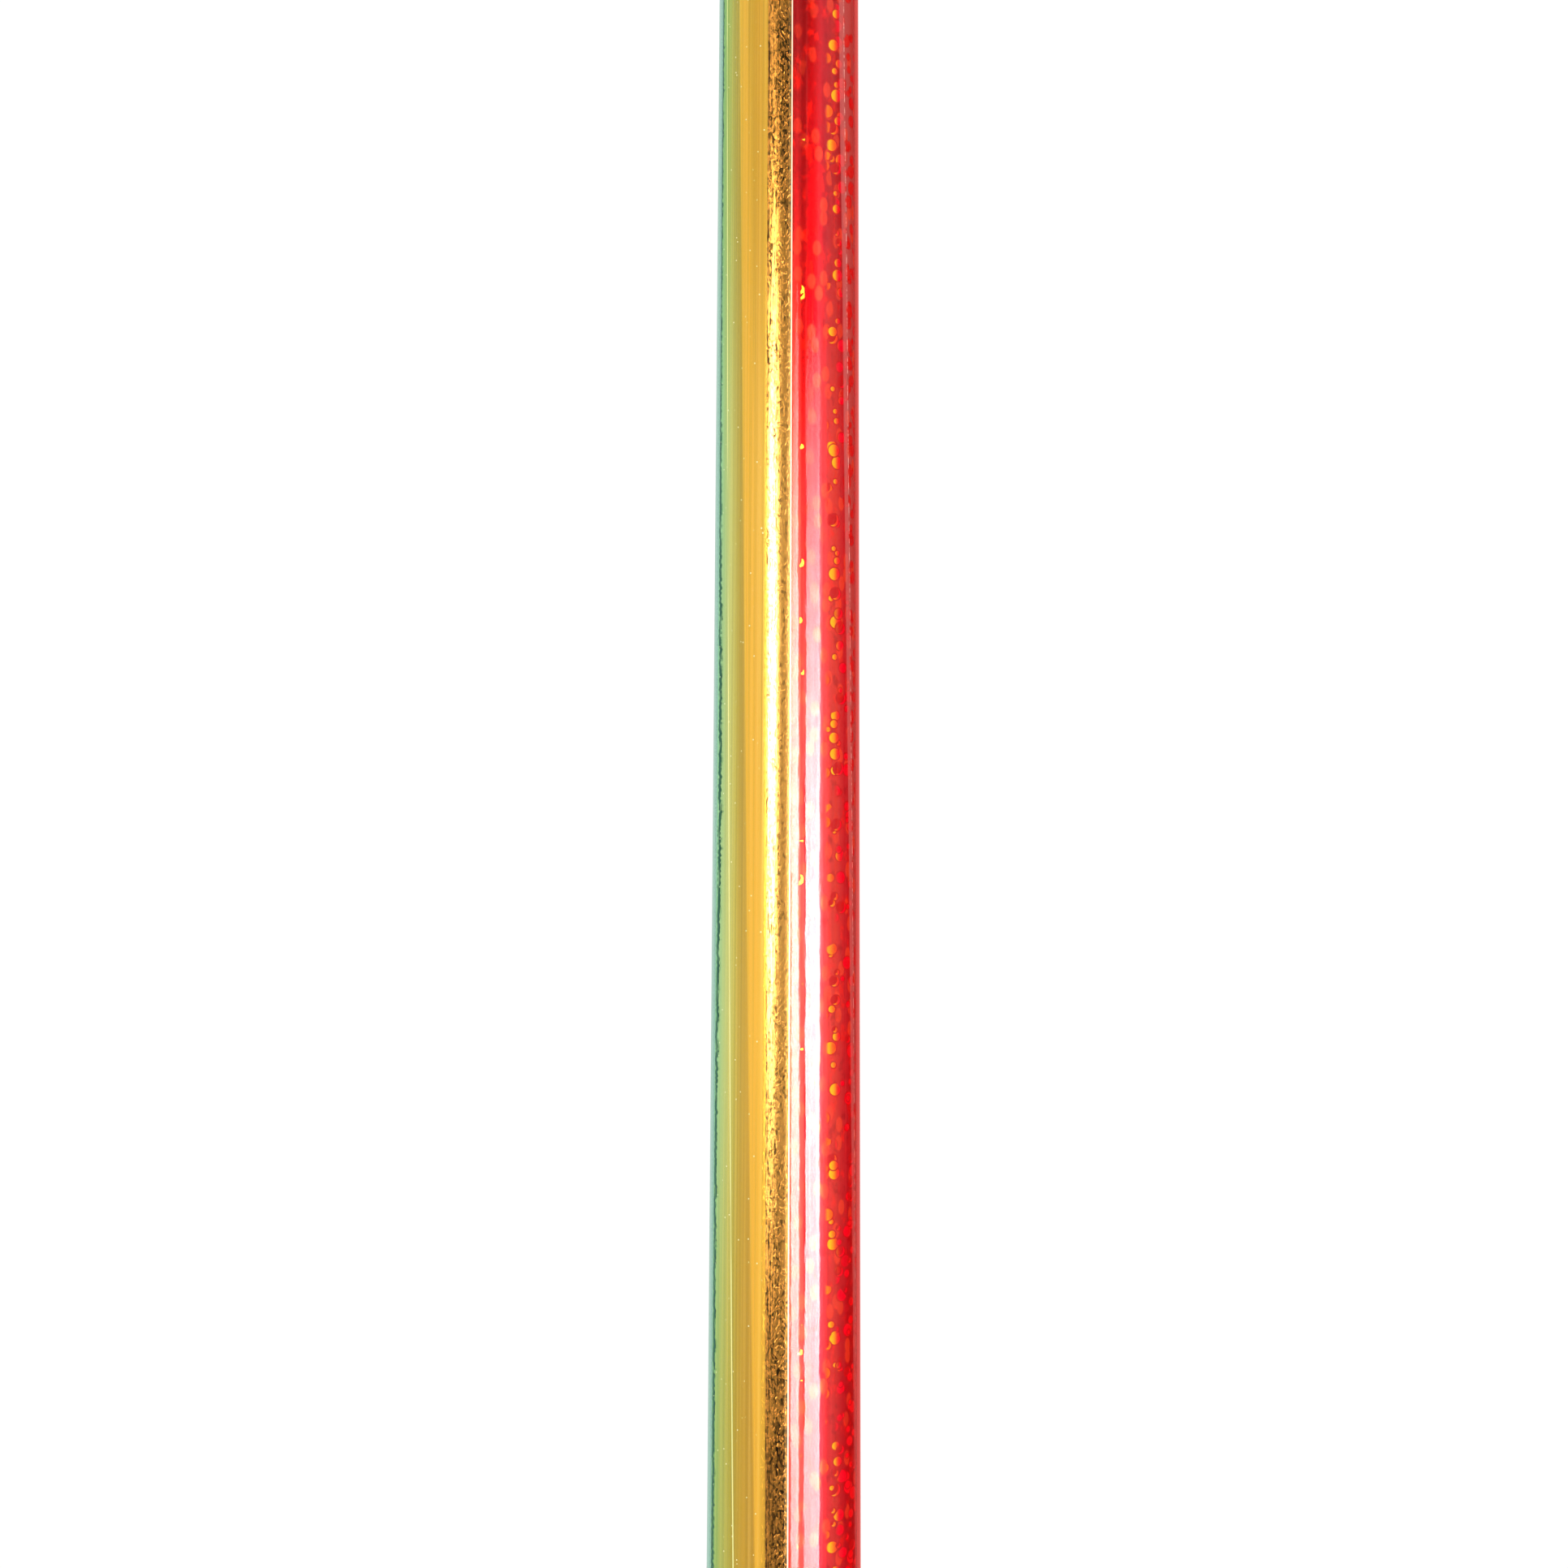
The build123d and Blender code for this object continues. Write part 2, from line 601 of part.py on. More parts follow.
def make_gate_pin():
    """Rivet through both ears and the boss, with a low head on each side."""
    head_start = GATE_EAR[1] + RIVET_GAP
    head_end = head_start + RIVET_HEAD
    with BuildPart() as pin:
        with BuildSketch(HINGE_PLANE):
            Circle(GATE_PIN_RADIUS)
        extrude(amount=head_end, both=True)
        for face, amount in ((head_start, RIVET_HEAD), (-head_start, -RIVET_HEAD)):
            with BuildSketch(HINGE_PLANE.offset(face)):
                Circle(RIVET_HEAD_RADIUS)
            extrude(amount=amount)
    return pin.part


def make_gate_spring():
    """Torsion spring on the pin above the boss, with one leg along the gate's web."""
    height = SPRING_PITCH * SPRING_TURNS
    coil_plane = HINGE_PLANE.offset(SPRING_LEVEL)
    leg_plane = moved_plane(coil_plane, z=height)
    with BuildPart() as spring:
        with BuildLine(coil_plane) as coil:
            Helix(pitch=SPRING_PITCH, height=height, radius=SPRING_RADIUS)
        with BuildSketch(Plane(origin=coil.line @ 0, z_dir=coil.line % 0)):
            Circle(SPRING_WIRE)
        sweep(is_frenet=True)
        with BuildLine(leg_plane) as leg:
            Line(*SPRING_LEG)
        with BuildSketch(Plane(origin=leg.line @ 0, z_dir=leg.line % 0)):
            Circle(SPRING_WIRE)
        sweep()
    return spring.part


# The ribbon: a strap on the hook, a flat lead on the surface, and a roll that lies behind it -----------------

STRAP_BEND = HOOK_WIRE + BAR_CLEARANCE  # inner radius of the strap round the hook's bar
STRAP_SEAM = 6.0  # where the strap's two tails close on the ribbon
STRAP_SLACK = 0.04  # between the tails, beyond the ribbon's two layers
POINT_FROM_SEAM = 1.0
LEAD_DROP = 9.0  # length over which the ribbon comes down onto the surface in front of the strap
DOUBLING_SETBACK = 6.0  # how far behind the roll's middle the lower layer's flat part ends
LAYER_GAP = 0.01
LEAD_HEADROOM = 4.0  # height over the surface that holds the whole lead
TIE_ROUNDING = 1.0

ROLL_STATION = RIBBON_PIVOT.X + ROLL_FROM_STRAP
ROLL_HEIGHT = FLOOR + ROLL_RADIUS
POINT_START = RIBBON_PIVOT.X + STRAP_SEAM + POINT_FROM_SEAM
STRAP_END = RIBBON_PIVOT.X + STRAP_LENGTH
POINT_END = POINT_START + POINT_LENGTH
LANDING = STRAP_END + LEAD_DROP
DOUBLING_END = ROLL_STATION - DOUBLING_SETBACK
SANDWICH_HEIGHT = FLOOR + STRAP + LAYER_GAP  # underside of the ribbon between the strap's tails


def make_strap():
    """Webbing loop round the hook's bar: its two tails hold the ribbon's point between them."""
    bottom = -STRAP_BEND - STRAP
    lower = bottom + STRAP
    upper = lower + 2 * SATIN + STRAP_SLACK
    with BuildPart() as strap:
        with BuildSketch(Plane(origin=RIBBON_PIVOT, x_dir=(1, 0, 0), z_dir=(0, -1, 0))):
            Circle(STRAP_BEND + STRAP)
            with BuildLine():
                Polyline(
                    (0, STRAP_BEND + STRAP),
                    (STRAP_SEAM, upper + STRAP),
                    (STRAP_LENGTH, upper + STRAP),
                    (STRAP_LENGTH, bottom),
                    (0, bottom),
                    close=True,
                )
            make_face()
            Circle(STRAP_BEND, mode=Mode.SUBTRACT)
            with BuildLine():
                Polyline(
                    (0, STRAP_BEND),
                    (STRAP_SEAM, upper),
                    (STRAP_LENGTH, upper),
                    (STRAP_LENGTH, lower),
                    (0, lower),
                    close=True,
                )
            make_face(mode=Mode.SUBTRACT)
        extrude(amount=STRAP_WIDTH / 2, both=True)
    return strap.part


def lead_layer(level, end):
    """One layer of the lead: its point lies in the strap, and it comes down in front of it and lies flat.

    level counts the layers beneath it."""
    lift = level * SATIN
    with BuildPart() as layer:
        with BuildSketch(Plane.XZ):
            with BuildLine():
                Polyline(
                    (POINT_START, SANDWICH_HEIGHT + lift),
                    (STRAP_END, SANDWICH_HEIGHT + lift),
                    (LANDING, FLOOR + lift),
                    (end, FLOOR + lift),
                    (end, FLOOR + lift + SATIN),
                    (LANDING, FLOOR + lift + SATIN),
                    (STRAP_END, SANDWICH_HEIGHT + lift + SATIN),
                    (POINT_START, SANDWICH_HEIGHT + lift + SATIN),
                    close=True,
                )
            make_face()
        extrude(amount=RIBBON_WIDTH / 2, both=True)
        with BuildSketch(Plane.XY.offset(FLOOR)):
            with BuildLine():
                Polyline(
                    (POINT_START, -POINT_WIDTH / 2),
                    (POINT_END, -RIBBON_WIDTH / 2),
                    (end, -RIBBON_WIDTH / 2),
                    (end, RIBBON_WIDTH / 2),
                    (POINT_END, RIBBON_WIDTH / 2),
                    (POINT_START, POINT_WIDTH / 2),
                    close=True,
                )
            make_face()
        extrude(amount=LEAD_HEADROOM, mode=Mode.INTERSECT)
    return layer.part


def make_ribbon():
    """The satin ribbon: its lead's upper layer, and the roll that the rest of it is wound into."""
    with BuildPart() as ribbon:
        with BuildSketch(Plane.XZ):
            with Locations((ROLL_STATION, ROLL_HEIGHT)):
                Circle(ROLL_RADIUS)
                Circle(ROLL_BORE_RADIUS, mode=Mode.SUBTRACT)
        extrude(amount=RIBBON_WIDTH / 2, both=True)
        add(lead_layer(1, ROLL_STATION))
    return ribbon.part


def make_roll_tie():
    """Elastic loop through the roll's bore and over its top, which keeps it wound."""
    across = RIBBON_WIDTH / 2 + PLAY
    inside = sqrt(ROLL_BORE_RADIUS**2 - (TIE_WIDTH / 2) ** 2) - PLAY
    outside = ROLL_RADIUS + PLAY
    with BuildPart() as tie:
        with BuildSketch(cross_section(ROLL_STATION)):
            with Locations((0, ROLL_HEIGHT + (inside + outside) / 2)):
                RectangleRounded(2 * (across + TIE), outside - inside + 2 * TIE, TIE_ROUNDING)
                Rectangle(2 * across, outside - inside, mode=Mode.SUBTRACT)
        extrude(amount=TIE_WIDTH / 2, both=True)
    return tie.part


def main():
    os.makedirs("parts", exist_ok=True)

    write(make_shaft(), "shaft_core")
    half = 180 - SEAM_GAP / 2
    write(make_film(FILM_LAYER, FILM_SEAM - half, FILM_SEAM - SEAM_GAP / 2), "green_gold_film")
    write(make_film(FILM_LAYER, FILM_SEAM + SEAM_GAP / 2, FILM_SEAM + half), "red_hologram_film")
    write(make_film(SEAM_TAPE_LAYER, *FRONT_TAPE_EDGES), "front_seam_tape")
    write(make_film(SEAM_TAPE_LAYER, *BACK_TAPE_EDGES), "back_seam_tape")
    write(make_film(OVERWRAP_LAYER, 0, 360), "clear_overwrap")
    write(make_grip_sleeve(), "grip_sleeve")
    write(make_grip_band(), "grip_band")
    write(make_butt_cap(), "butt_cap")
    write(make_butt_inlay(), "butt_inlay")
    write(make_shrink_collar(), "shrink_collar")

    write(make_ferrule(), "tip_ferrule")
    write(make_ferrule_cap(), "ferrule_cap")
    write(make_bearing_balls(), "bearing_balls")
    write(make_tip_pin(), "tip_eye_pin")

    write(make_jump_ring(), "jump_ring")
    write(make_swivel_eye(REAR_EYE_CENTRE, BARREL_REAR + BARREL_END_WALL, 1), "swivel_rear_eye")
    write(make_swivel_eye(FRONT_EYE_CENTRE, BARREL_FRONT - BARREL_END_WALL, -1), "swivel_front_eye")
    write(make_swivel_barrel(), "swivel_barrel")

    write(make_hook_frame(), "hook_frame")
    write(make_gate(), "hook_gate")
    write(make_gate_pin(), "gate_pin")
    write(make_gate_spring(), "gate_spring")

    write(make_strap(), "ribbon_strap")
    write(make_ribbon(), "ribbon")
    write(lead_layer(0, DOUBLING_END), "ribbon_doubling")
    write(make_roll_tie(), "roll_tie")


if __name__ == "__main__":
    main()
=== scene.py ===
"""Rhythmic gymnastics ribbon wand: its looks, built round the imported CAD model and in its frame.

The camera and the lights are placed in metres, and pieces are drawn in millimetres.
"""

import math

import bmesh
import bpy
import numpy as np
from mathutils import Matrix, Vector


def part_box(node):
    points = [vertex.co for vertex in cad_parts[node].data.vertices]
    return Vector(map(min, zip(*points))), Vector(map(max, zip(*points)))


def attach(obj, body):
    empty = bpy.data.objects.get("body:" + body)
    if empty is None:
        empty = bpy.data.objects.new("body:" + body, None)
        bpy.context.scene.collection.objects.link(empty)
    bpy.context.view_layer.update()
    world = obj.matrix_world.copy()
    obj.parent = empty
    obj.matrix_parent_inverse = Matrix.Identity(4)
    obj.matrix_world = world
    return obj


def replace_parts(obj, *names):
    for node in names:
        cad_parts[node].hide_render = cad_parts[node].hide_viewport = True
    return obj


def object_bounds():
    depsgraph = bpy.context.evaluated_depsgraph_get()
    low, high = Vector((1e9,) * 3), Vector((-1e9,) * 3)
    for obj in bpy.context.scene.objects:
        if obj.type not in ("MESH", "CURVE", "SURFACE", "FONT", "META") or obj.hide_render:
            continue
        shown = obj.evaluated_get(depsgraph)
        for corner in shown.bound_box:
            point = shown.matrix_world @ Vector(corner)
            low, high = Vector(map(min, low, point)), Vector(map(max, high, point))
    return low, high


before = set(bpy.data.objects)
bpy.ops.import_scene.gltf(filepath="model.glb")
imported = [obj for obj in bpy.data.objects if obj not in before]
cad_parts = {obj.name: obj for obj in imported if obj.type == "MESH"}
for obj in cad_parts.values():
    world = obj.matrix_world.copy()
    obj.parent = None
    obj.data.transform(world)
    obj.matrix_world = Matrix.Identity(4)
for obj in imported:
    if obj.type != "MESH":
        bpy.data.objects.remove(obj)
cad_low, cad_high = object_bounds()

MM = 0.001


# ---- Numbers and colours ----


def tint(red, green, blue):
    """A colour given as the eye reads it, 0 to 255, as the linear colour that a shader takes."""
    shares = [value / 255 for value in (red, green, blue)]
    linear = [s / 12.92 if s <= 0.04045 else ((s + 0.055) / 1.055) ** 2.4 for s in shares]
    return (*linear, 1.0)


# ---- Materials ----


class Shader:
    """The nodes of a new material, a world or a light. Calls take numbers, colours or nodes' sockets."""

    def __init__(self, owner):
        self.owner = bpy.data.materials.new(owner) if isinstance(owner, str) else owner
        self.owner.use_nodes = True
        self.tree = self.owner.node_tree

    def feed(self, socket, value):
        if isinstance(value, bpy.types.NodeSocket):
            self.tree.links.new(value, socket)
        else:
            socket.default_value = value

    def node(self, kind, inputs, **settings):
        node = self.tree.nodes.new("ShaderNode" + kind)
        for name, value in settings.items():
            setattr(node, name, value)
        for name, value in inputs.items():
            self.feed(node.inputs[name], value)
        return node

    def math(self, operation, *values):
        return self.node("Math", dict(enumerate(values)), operation=operation).outputs[0]

    def add(self, a, b):
        return self.math("ADD", a, b)

    def times(self, a, b):
        return self.math("MULTIPLY", a, b)

    def step(self, value, low, high, out_low=0.0, out_high=1.0):
        """Goes smoothly from out_low to out_high as value goes from low to high."""
        inputs = {"Value": value, "From Min": low, "From Max": high, "To Min": out_low, "To Max": out_high}
        return self.node("MapRange", inputs, interpolation_type="SMOOTHSTEP").outputs[0]

    def band(self, value, low, high, soft):
        """1 between low and high, and 0 outside, over soft edges."""
        above_low = self.step(value, low - soft, low + soft)
        return self.times(above_low, self.step(value, high - soft, high + soft, 1.0, 0.0))

    def mix(self, factor, a, b, blend="MIX"):
        node = self.node("Mix", {0: factor, 6: a, 7: b}, data_type="RGBA", blend_type=blend)
        return node.outputs[2]

    def blend(self, factor, a, b):
        """Mixes numbers as mix does colours."""
        return self.node("Mix", {0: factor, 2: a, 3: b}, data_type="FLOAT").outputs[0]

    def ramp(self, factor, stops, interpolation="LINEAR"):
        """A colour ramp from its stops, each a place from 0 to 1 and a colour."""
        node = self.node("ValToRGB", {0: factor})
        elements = node.color_ramp.elements
        for index, (place, colour) in enumerate(stops):
            element = elements[index] if index < 2 else elements.new(place)
            element.position = place
            element.color = colour
        node.color_ramp.interpolation = interpolation
        return node.outputs[0]

    def noise(self, vector, scale, detail=2.0, roughness=0.5, distortion=0.0):
        """Noise at one scale, or at one for each direction."""
        if isinstance(scale, tuple):
            vector, scale = self.stretched(vector, *scale), 1.0
        inputs = {"Vector": vector, "Scale": scale, "Detail": detail, "Roughness": roughness}
        return self.node("TexNoise", {**inputs, "Distortion": distortion}).outputs[0]

    def wander(self, value, scale, detail=1.0):
        """A smooth wander about 0 along one coordinate."""
        noise = self.node("TexNoise", {"W": value, "Scale": scale, "Detail": detail}, noise_dimensions="1D")
        return self.add(noise.outputs[0], -0.5)

    def cells(self, vector, scale, randomness=1.0, dimensions="3D"):
        inputs = {"Vector": vector, "Scale": scale, "Randomness": randomness}
        return self.node("TexVoronoi", inputs, voronoi_dimensions=dimensions)

    def combine(self, x, y, z):
        return self.node("CombineXYZ", {0: x, 1: y, 2: z}).outputs[0]

    def split(self, vector):
        return self.node("SeparateXYZ", {0: vector}).outputs

    def place(self):
        """The point on the object, in millimetres."""
        coordinates = self.node("TexCoord", {}).outputs["Object"]
        return self.node("VectorMath", {0: coordinates, "Scale": 1 / MM}, operation="SCALE").outputs[0]

    def on_cloth(self):
        """How far along and across the sheet or band the point is, in millimetres, and both as a vector."""
        along, across = (self.node("Attribute", {}, attribute_name=name) for name in ("along", "across"))
        along, across = along.outputs["Fac"], across.outputs["Fac"]
        return along, across, self.combine(along, across, 0.0)

    def stretched(self, vector, x, y, z=1.0):
        return self.node("VectorMath", {0: vector, 1: (x, y, z)}, operation="MULTIPLY").outputs[0]

    def bump(self, height, depth, normal=None):
        """Raises the surface by height times depth, which is in metres."""
        inputs = {"Height": height, "Distance": depth, "Strength": 1.0}
        if normal is not None:
            inputs["Normal"] = normal
        return self.node("Bump", inputs).outputs[0]

    def finish(self, **sockets):
        """Sets the surface's own sockets by name, and gives the material."""
        for name, value in sockets.items():
            self.feed(self.tree.nodes["Principled BSDF"].inputs[name.replace("_", " ")], value)
        return self.owner


# ---- Camera, floor and light ----

VIEW_STATION = 0.11475  # the camera looks straight down on this point of the shaft
CAMERA_HEIGHT = 0.2486
CAMERA_ASIDE = 0.00013
CAMERA_ROLL = 0.19  # degrees
FILL_STATION = VIEW_STATION + 0.2  # the fill lights face this point
REST_HEIGHT = cad_low.z  # the surface that the wand lies on
FLOOR_DROP = 0.16  # the floor is this much lower, so that the linkage can swing down over it
FLOOR_REACH = 40.0
SKY = 1.0
DARK_SKY = 0.3
DARK_TILT = -8  # degrees from straight up, towards +Y
DARK_SPREAD = (32, 46)  # degrees from the middle of the dark patch to its soft edge's two sides


def make_camera():
    camera = bpy.data.cameras.new("camera")
    camera.lens = 100
    camera.sensor_width = 36
    camera.clip_start = 0.01
    thing = bpy.data.objects.new("camera", camera)
    thing.location = (VIEW_STATION, CAMERA_ASIDE, CAMERA_HEIGHT)
    thing.rotation_euler = (0, 0, math.radians(-90 + CAMERA_ROLL))
    bpy.context.scene.collection.objects.link(thing)
    bpy.context.scene.camera = thing
    bpy.context.scene.view_settings.view_transform = "Standard"


def make_floor():
    """A plain pale floor that glows a little, like a light table."""
    mesh = bpy.data.meshes.new("floor")
    reach, height = FLOOR_REACH, REST_HEIGHT - FLOOR_DROP
    corners = [(x * reach, y * reach, height) for x, y in ((-1, -1), (1, -1), (1, 1), (-1, 1))]
    mesh.from_pydata(corners, [], [(0, 1, 2, 3)])
    floor = bpy.data.objects.new("floor", mesh)
    bpy.context.scene.collection.objects.link(floor)
    shader = Shader("floor")
    pale = (0.1, 0.1, 0.1, 1)
    mesh.materials.append(
        shader.finish(Base_Color=pale, Roughness=0.9, Emission_Color=(1, 1, 1, 1), Emission_Strength=0.9)
    )


def make_sky():
    """Even white light from all round, darker overhead."""
    world = bpy.data.worlds.new("studio")
    bpy.context.scene.world = world
    s = Shader(world)
    tilt = math.radians(DARK_TILT)
    inputs = {0: s.node("TexCoord", {}).outputs["Generated"], 1: (0, math.sin(tilt), math.cos(tilt))}
    towards_dark = s.node("VectorMath", inputs, operation="DOT_PRODUCT").outputs["Value"]
    inner, outer = (math.cos(math.radians(angle)) for angle in DARK_SPREAD)
    background = s.tree.nodes["Background"].inputs
    s.feed(background["Strength"], s.step(towards_dark, outer, inner, SKY, DARK_SKY))
    s.feed(background["Color"], (1, 1, 1, 1))


WRAPPED = bpy.data.collections.new("wrapped_shaft")  # the only pieces that the bright strips light
FILLED = bpy.data.collections.new("all_but_the_wrapped_shaft")  # the same pieces, left out of the fill lights


def area_light(name, shape, size, energy, place, receivers):
    light = bpy.data.lights.new(name, "AREA")
    light.shape = shape
    light.size, light.size_y = size
    light.energy = energy
    box = bpy.data.objects.new(name, light)
    box.location = place
    box.visible_camera = False
    box.light_linking.receiver_collection = receivers
    bpy.context.scene.collection.objects.link(box)
    return box


def make_strip(name, station, distance, film_angles, length, radiance, fade, shape="RECTANGLE", turn=0.0):
    """A bright strip light that faces the middle of the view, and that the wrapped shaft reflects between two
    of its own angles. The radiance follows fade along the strip, from low stations to high ones."""
    towards = [math.radians(2 * angle) for angle in film_angles]
    middle = sum(towards) / 2
    width = 2 * distance * math.tan(abs(towards[1] - towards[0]) / 2)
    area = length * width * (math.pi / 4 if shape == "ELLIPSE" else 1)
    place = (station, -distance * math.sin(middle), distance * math.cos(middle))
    box = area_light(name, shape, (length, width), radiance * math.pi * area, place, WRAPPED)
    s = Shader(box.data)
    along_strip = s.split(s.node("TexCoord", {}).outputs["UV"])[0]
    stops = [(index / (len(fade) - 1), (shade, shade, shade, 1)) for index, shade in enumerate(fade)]
    s.feed(s.tree.nodes["Emission"].inputs["Color"], s.ramp(along_strip, stops, "B_SPLINE"))
    away = (box.location - Vector((VIEW_STATION, 0, 0))).normalized()
    along = Vector((1, 0, 0))
    along = (along - along.dot(away) * away).normalized()
    facing = Matrix((along, away.cross(along), away)).transposed()
    box.rotation_mode = "QUATERNION"
    box.rotation_quaternion = (facing @ Matrix.Rotation(math.radians(turn), 3, "Z")).to_quaternion()


def make_fill(name, place, size, power):
    """A large soft light for everything but the wrapped shaft."""
    box = area_light(name, "RECTANGLE", size, power, place, FILLED)
    box.rotation_euler = (Vector((FILL_STATION, 0, 0)) - box.location).to_track_quat("-Z", "Y").to_euler()


make_camera()
make_floor()
make_sky()
make_fill("fill_right", place=(0.3, -0.9, 0.9), size=(0.9, 0.5), power=9.0)
make_fill("fill_left", place=(0.35, 0.8, 0.8), size=(0.6, 0.3), power=3.5)
make_strip(
    "strip_left", station=0.138, distance=0.6, film_angles=(-14.9, -8.6), length=0.185, radiance=36,
    fade=(0.0, 0.1, 0.5, 1.0, 0.9, 0.3, 0.0), shape="ELLIPSE", turn=-12,
)
make_strip(
    "strip_right", station=0.0505, distance=0.8, film_angles=(15.7, 28.0), length=0.36, radiance=40,
    fade=(0.3, 0.5, 0.7, 0.95, 1.0, 0.35, 0.0),
)
make_strip(
    "strip_top", station=0.0505, distance=0.8, film_angles=(4.6, 10.4), length=0.36, radiance=32,
    fade=(0.4, 0.6, 0.7, 0.85, 0.9, 0.6, 0.0), turn=18,
)


# ---- Shells round the shaft ----

CORE_RADIUS = 4.27  # the bare shaft where it leaves the grip, in millimetres
CORE_START = 50.0
CORE_SLOPE = 0.00495
FILM_ENDS = (50.2, 516.0)
SHELL_ROWS = 390


def core_radius(station):
    return CORE_RADIUS - CORE_SLOPE * (station - CORE_START)


def grid_faces(rows, columns, closed_rows=False):
    """Quads over points held row after row, where each row closes on itself."""
    a, b = np.meshgrid(np.arange(rows if closed_rows else rows - 1), np.arange(columns), indexing="ij")
    a, b = a.ravel(), b.ravel()
    c, d = (a + 1) % rows, (b + 1) % columns
    return np.stack([a * columns + b, c * columns + b, c * columns + d, a * columns + d], axis=1)


def new_piece(name, points, faces, material, body, slot, smooth_angle=40, **attributes):
    """A closed piece from points in millimetres, which rides on a body. Attributes are numbers by point."""
    mesh = bpy.data.meshes.new(name)
    mesh.from_pydata((np.asarray(points) * MM).tolist(), [], [list(map(int, face)) for face in faces])
    mesh.validate()
    whole = bmesh.new()
    whole.from_mesh(mesh)
    bmesh.ops.recalc_face_normals(whole, faces=whole.faces)
    whole.to_mesh(mesh)
    whole.free()
    mesh.shade_smooth()
    mesh.set_sharp_from_angle(angle=math.radians(smooth_angle))
    mesh.materials.append(material)
    for attribute, values in attributes.items():
        mesh.attributes.new(attribute, "FLOAT", "POINT").data.foreach_set("value", np.ravel(values))
    piece = bpy.data.objects.new(name, mesh)
    bpy.context.scene.collection.objects.link(piece)
    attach(piece, body)
    return piece


def skin(name, outside, inside, material, body, slot, closed_rows=False, **attributes):
    """A closed skin between two grids of points, with each attribute's numbers given over one grid."""
    rows, columns = outside.shape[:2]
    around = 2 * columns
    loop = np.concatenate([outside, inside[:, ::-1]], axis=1)
    faces = list(grid_faces(rows, around, closed_rows))
    if not closed_rows:
        start = [[k, k + 1, around - 2 - k, around - 1 - k] for k in range(columns - 1)]
        faces += start + [[(rows - 1) * around + k for k in quad] for quad in start]
    doubled = {key: np.concatenate([grid, grid[:, ::-1]], axis=1) for key, grid in attributes.items()}
    return new_piece(name, loop.reshape(-1, 3), faces, material, body, slot, **doubled)


def shaft_shell(name, layer, angles, material, slot):
    """A closed shell over part of the shaft, between two angles."""
    inner, outer, ripple_height, columns = layer
    stations = np.linspace(*FILM_ENDS, SHELL_ROWS)
    grid_x, grid_a = np.meshgrid(stations, np.linspace(*angles, columns), indexing="ij")
    turn = np.radians(grid_a)

    def surface(radius):
        return np.stack([grid_x, -radius * np.sin(turn), radius * np.cos(turn)], axis=-1)

    outside = surface(core_radius(grid_x) + outer + ripple_height * long_ripple(grid_x, grid_a))
    inside = surface(core_radius(grid_x) + inner)
    shell = skin(name, outside, inside, material, "stick", slot)
    WRAPPED.objects.link(shell)
    FILLED.objects.link(shell)
    FILLED.collection_objects[-1].light_linking.link_state = "EXCLUDE"
    return shell


def ripples(seed, count, wavelength, swing_angle):
    """A smooth random surface of long ripples: a function of station and angle that stays within 1 of 0."""
    dice = np.random.default_rng(seed)
    waves = []
    for _ in range(count):
        along = dice.uniform(0.6, 1.6) * 2 * math.pi / wavelength
        around = dice.uniform(1, 4) * math.pi / swing_angle
        waves.append((along, around, dice.uniform(0, 7)))

    def height(station, angle):
        total = sum(np.sin(k * station + q * angle + phase) for k, q, phase in waves)
        return total / count

    return height


long_ripple = ripples(5, 9, 60.0, 60.0)

# each film's colour by its angle round the shaft, in degrees
GREEN_STOPS = (
    (-8, (238, 184, 66)), (-18, (238, 184, 66)), (-22, (242, 186, 66)), (-24, (240, 182, 62)),
    (-29, (236, 182, 62)), (-33, (230, 182, 62)), (-36, (218, 176, 62)), (-40, (208, 176, 66)),
    (-44, (202, 184, 76)), (-48, (202, 192, 92)), (-53, (198, 198, 108)), (-57, (192, 202, 120)),
    (-62, (180, 202, 130)), (-67, (176, 208, 146)), (-72, (160, 204, 150)), (-80, (150, 208, 172)),
    (-88, (150, 214, 188)), (-108, (120, 200, 160)), (-138, (150, 200, 120)), (-168, (200, 190, 90)),
    (-188, (228, 170, 56)),
)
RED_STOPS = (
    (-8, (190, 70, 44)), (3, (182, 60, 38)), (6, (184, 44, 30)), (10, (182, 36, 28)),
    (11.5, (180, 6, 6)), (20, (176, 2, 6)), (24, (176, 4, 12)), (27, (190, 28, 34)),
    (33, (214, 50, 50)), (39, (226, 54, 42)), (44, (220, 50, 36)), (48, (208, 42, 40)),
    (54, (196, 34, 38)), (62, (190, 34, 38)), (90, (186, 40, 44)), (130, (210, 34, 40)),
    (172, (190, 70, 44)),
)
FILM_SEAM = -8.0
SEAM_GAP = 0.25
COAT = 0.6
SKEW = 0.27  # degrees that a straight-cut film's features turn round the taper in each mm
SKEW_STATION = 113.0
UNROLLED_RADIUS = 4.2  # turns an angle into millimetres across the film


def around_shaft(shader):
    """The station in mm, the angle in degrees from +Z towards -Y, that angle as counted from features that
    run straight along the flat film, and the surface unrolled."""
    place = shader.place()
    x, y, z = shader.split(place)
    turn = shader.math("ARCTAN2", shader.times(y, -1.0), z)
    angle = shader.math("DEGREES", turn)
    skewed = shader.add(angle, shader.times(shader.add(x, -SKEW_STATION), SKEW))
    skewed = shader.math("WRAP", skewed, 180.0, -180.0)
    flat = shader.combine(x, shader.times(turn, UNROLLED_RADIUS), 0.0)
    return x, angle, skewed, flat


def film_colour(s, angle, stops):
    """The film's own colour from its stops, which span half a turn in either direction."""
    first = min(place for place, _ in stops)
    from_first = s.math("WRAP", s.add(angle, -first), 360.0, 0.0)
    places = sorted(((place - first) / 180, tint(*rgb)) for place, rgb in stops)
    return s.ramp(s.times(from_first, 1 / 180), places)


# the stations over which painted shade darkens the films towards the tip
TIP_SHADE_STATIONS = (128.0, 152.0)


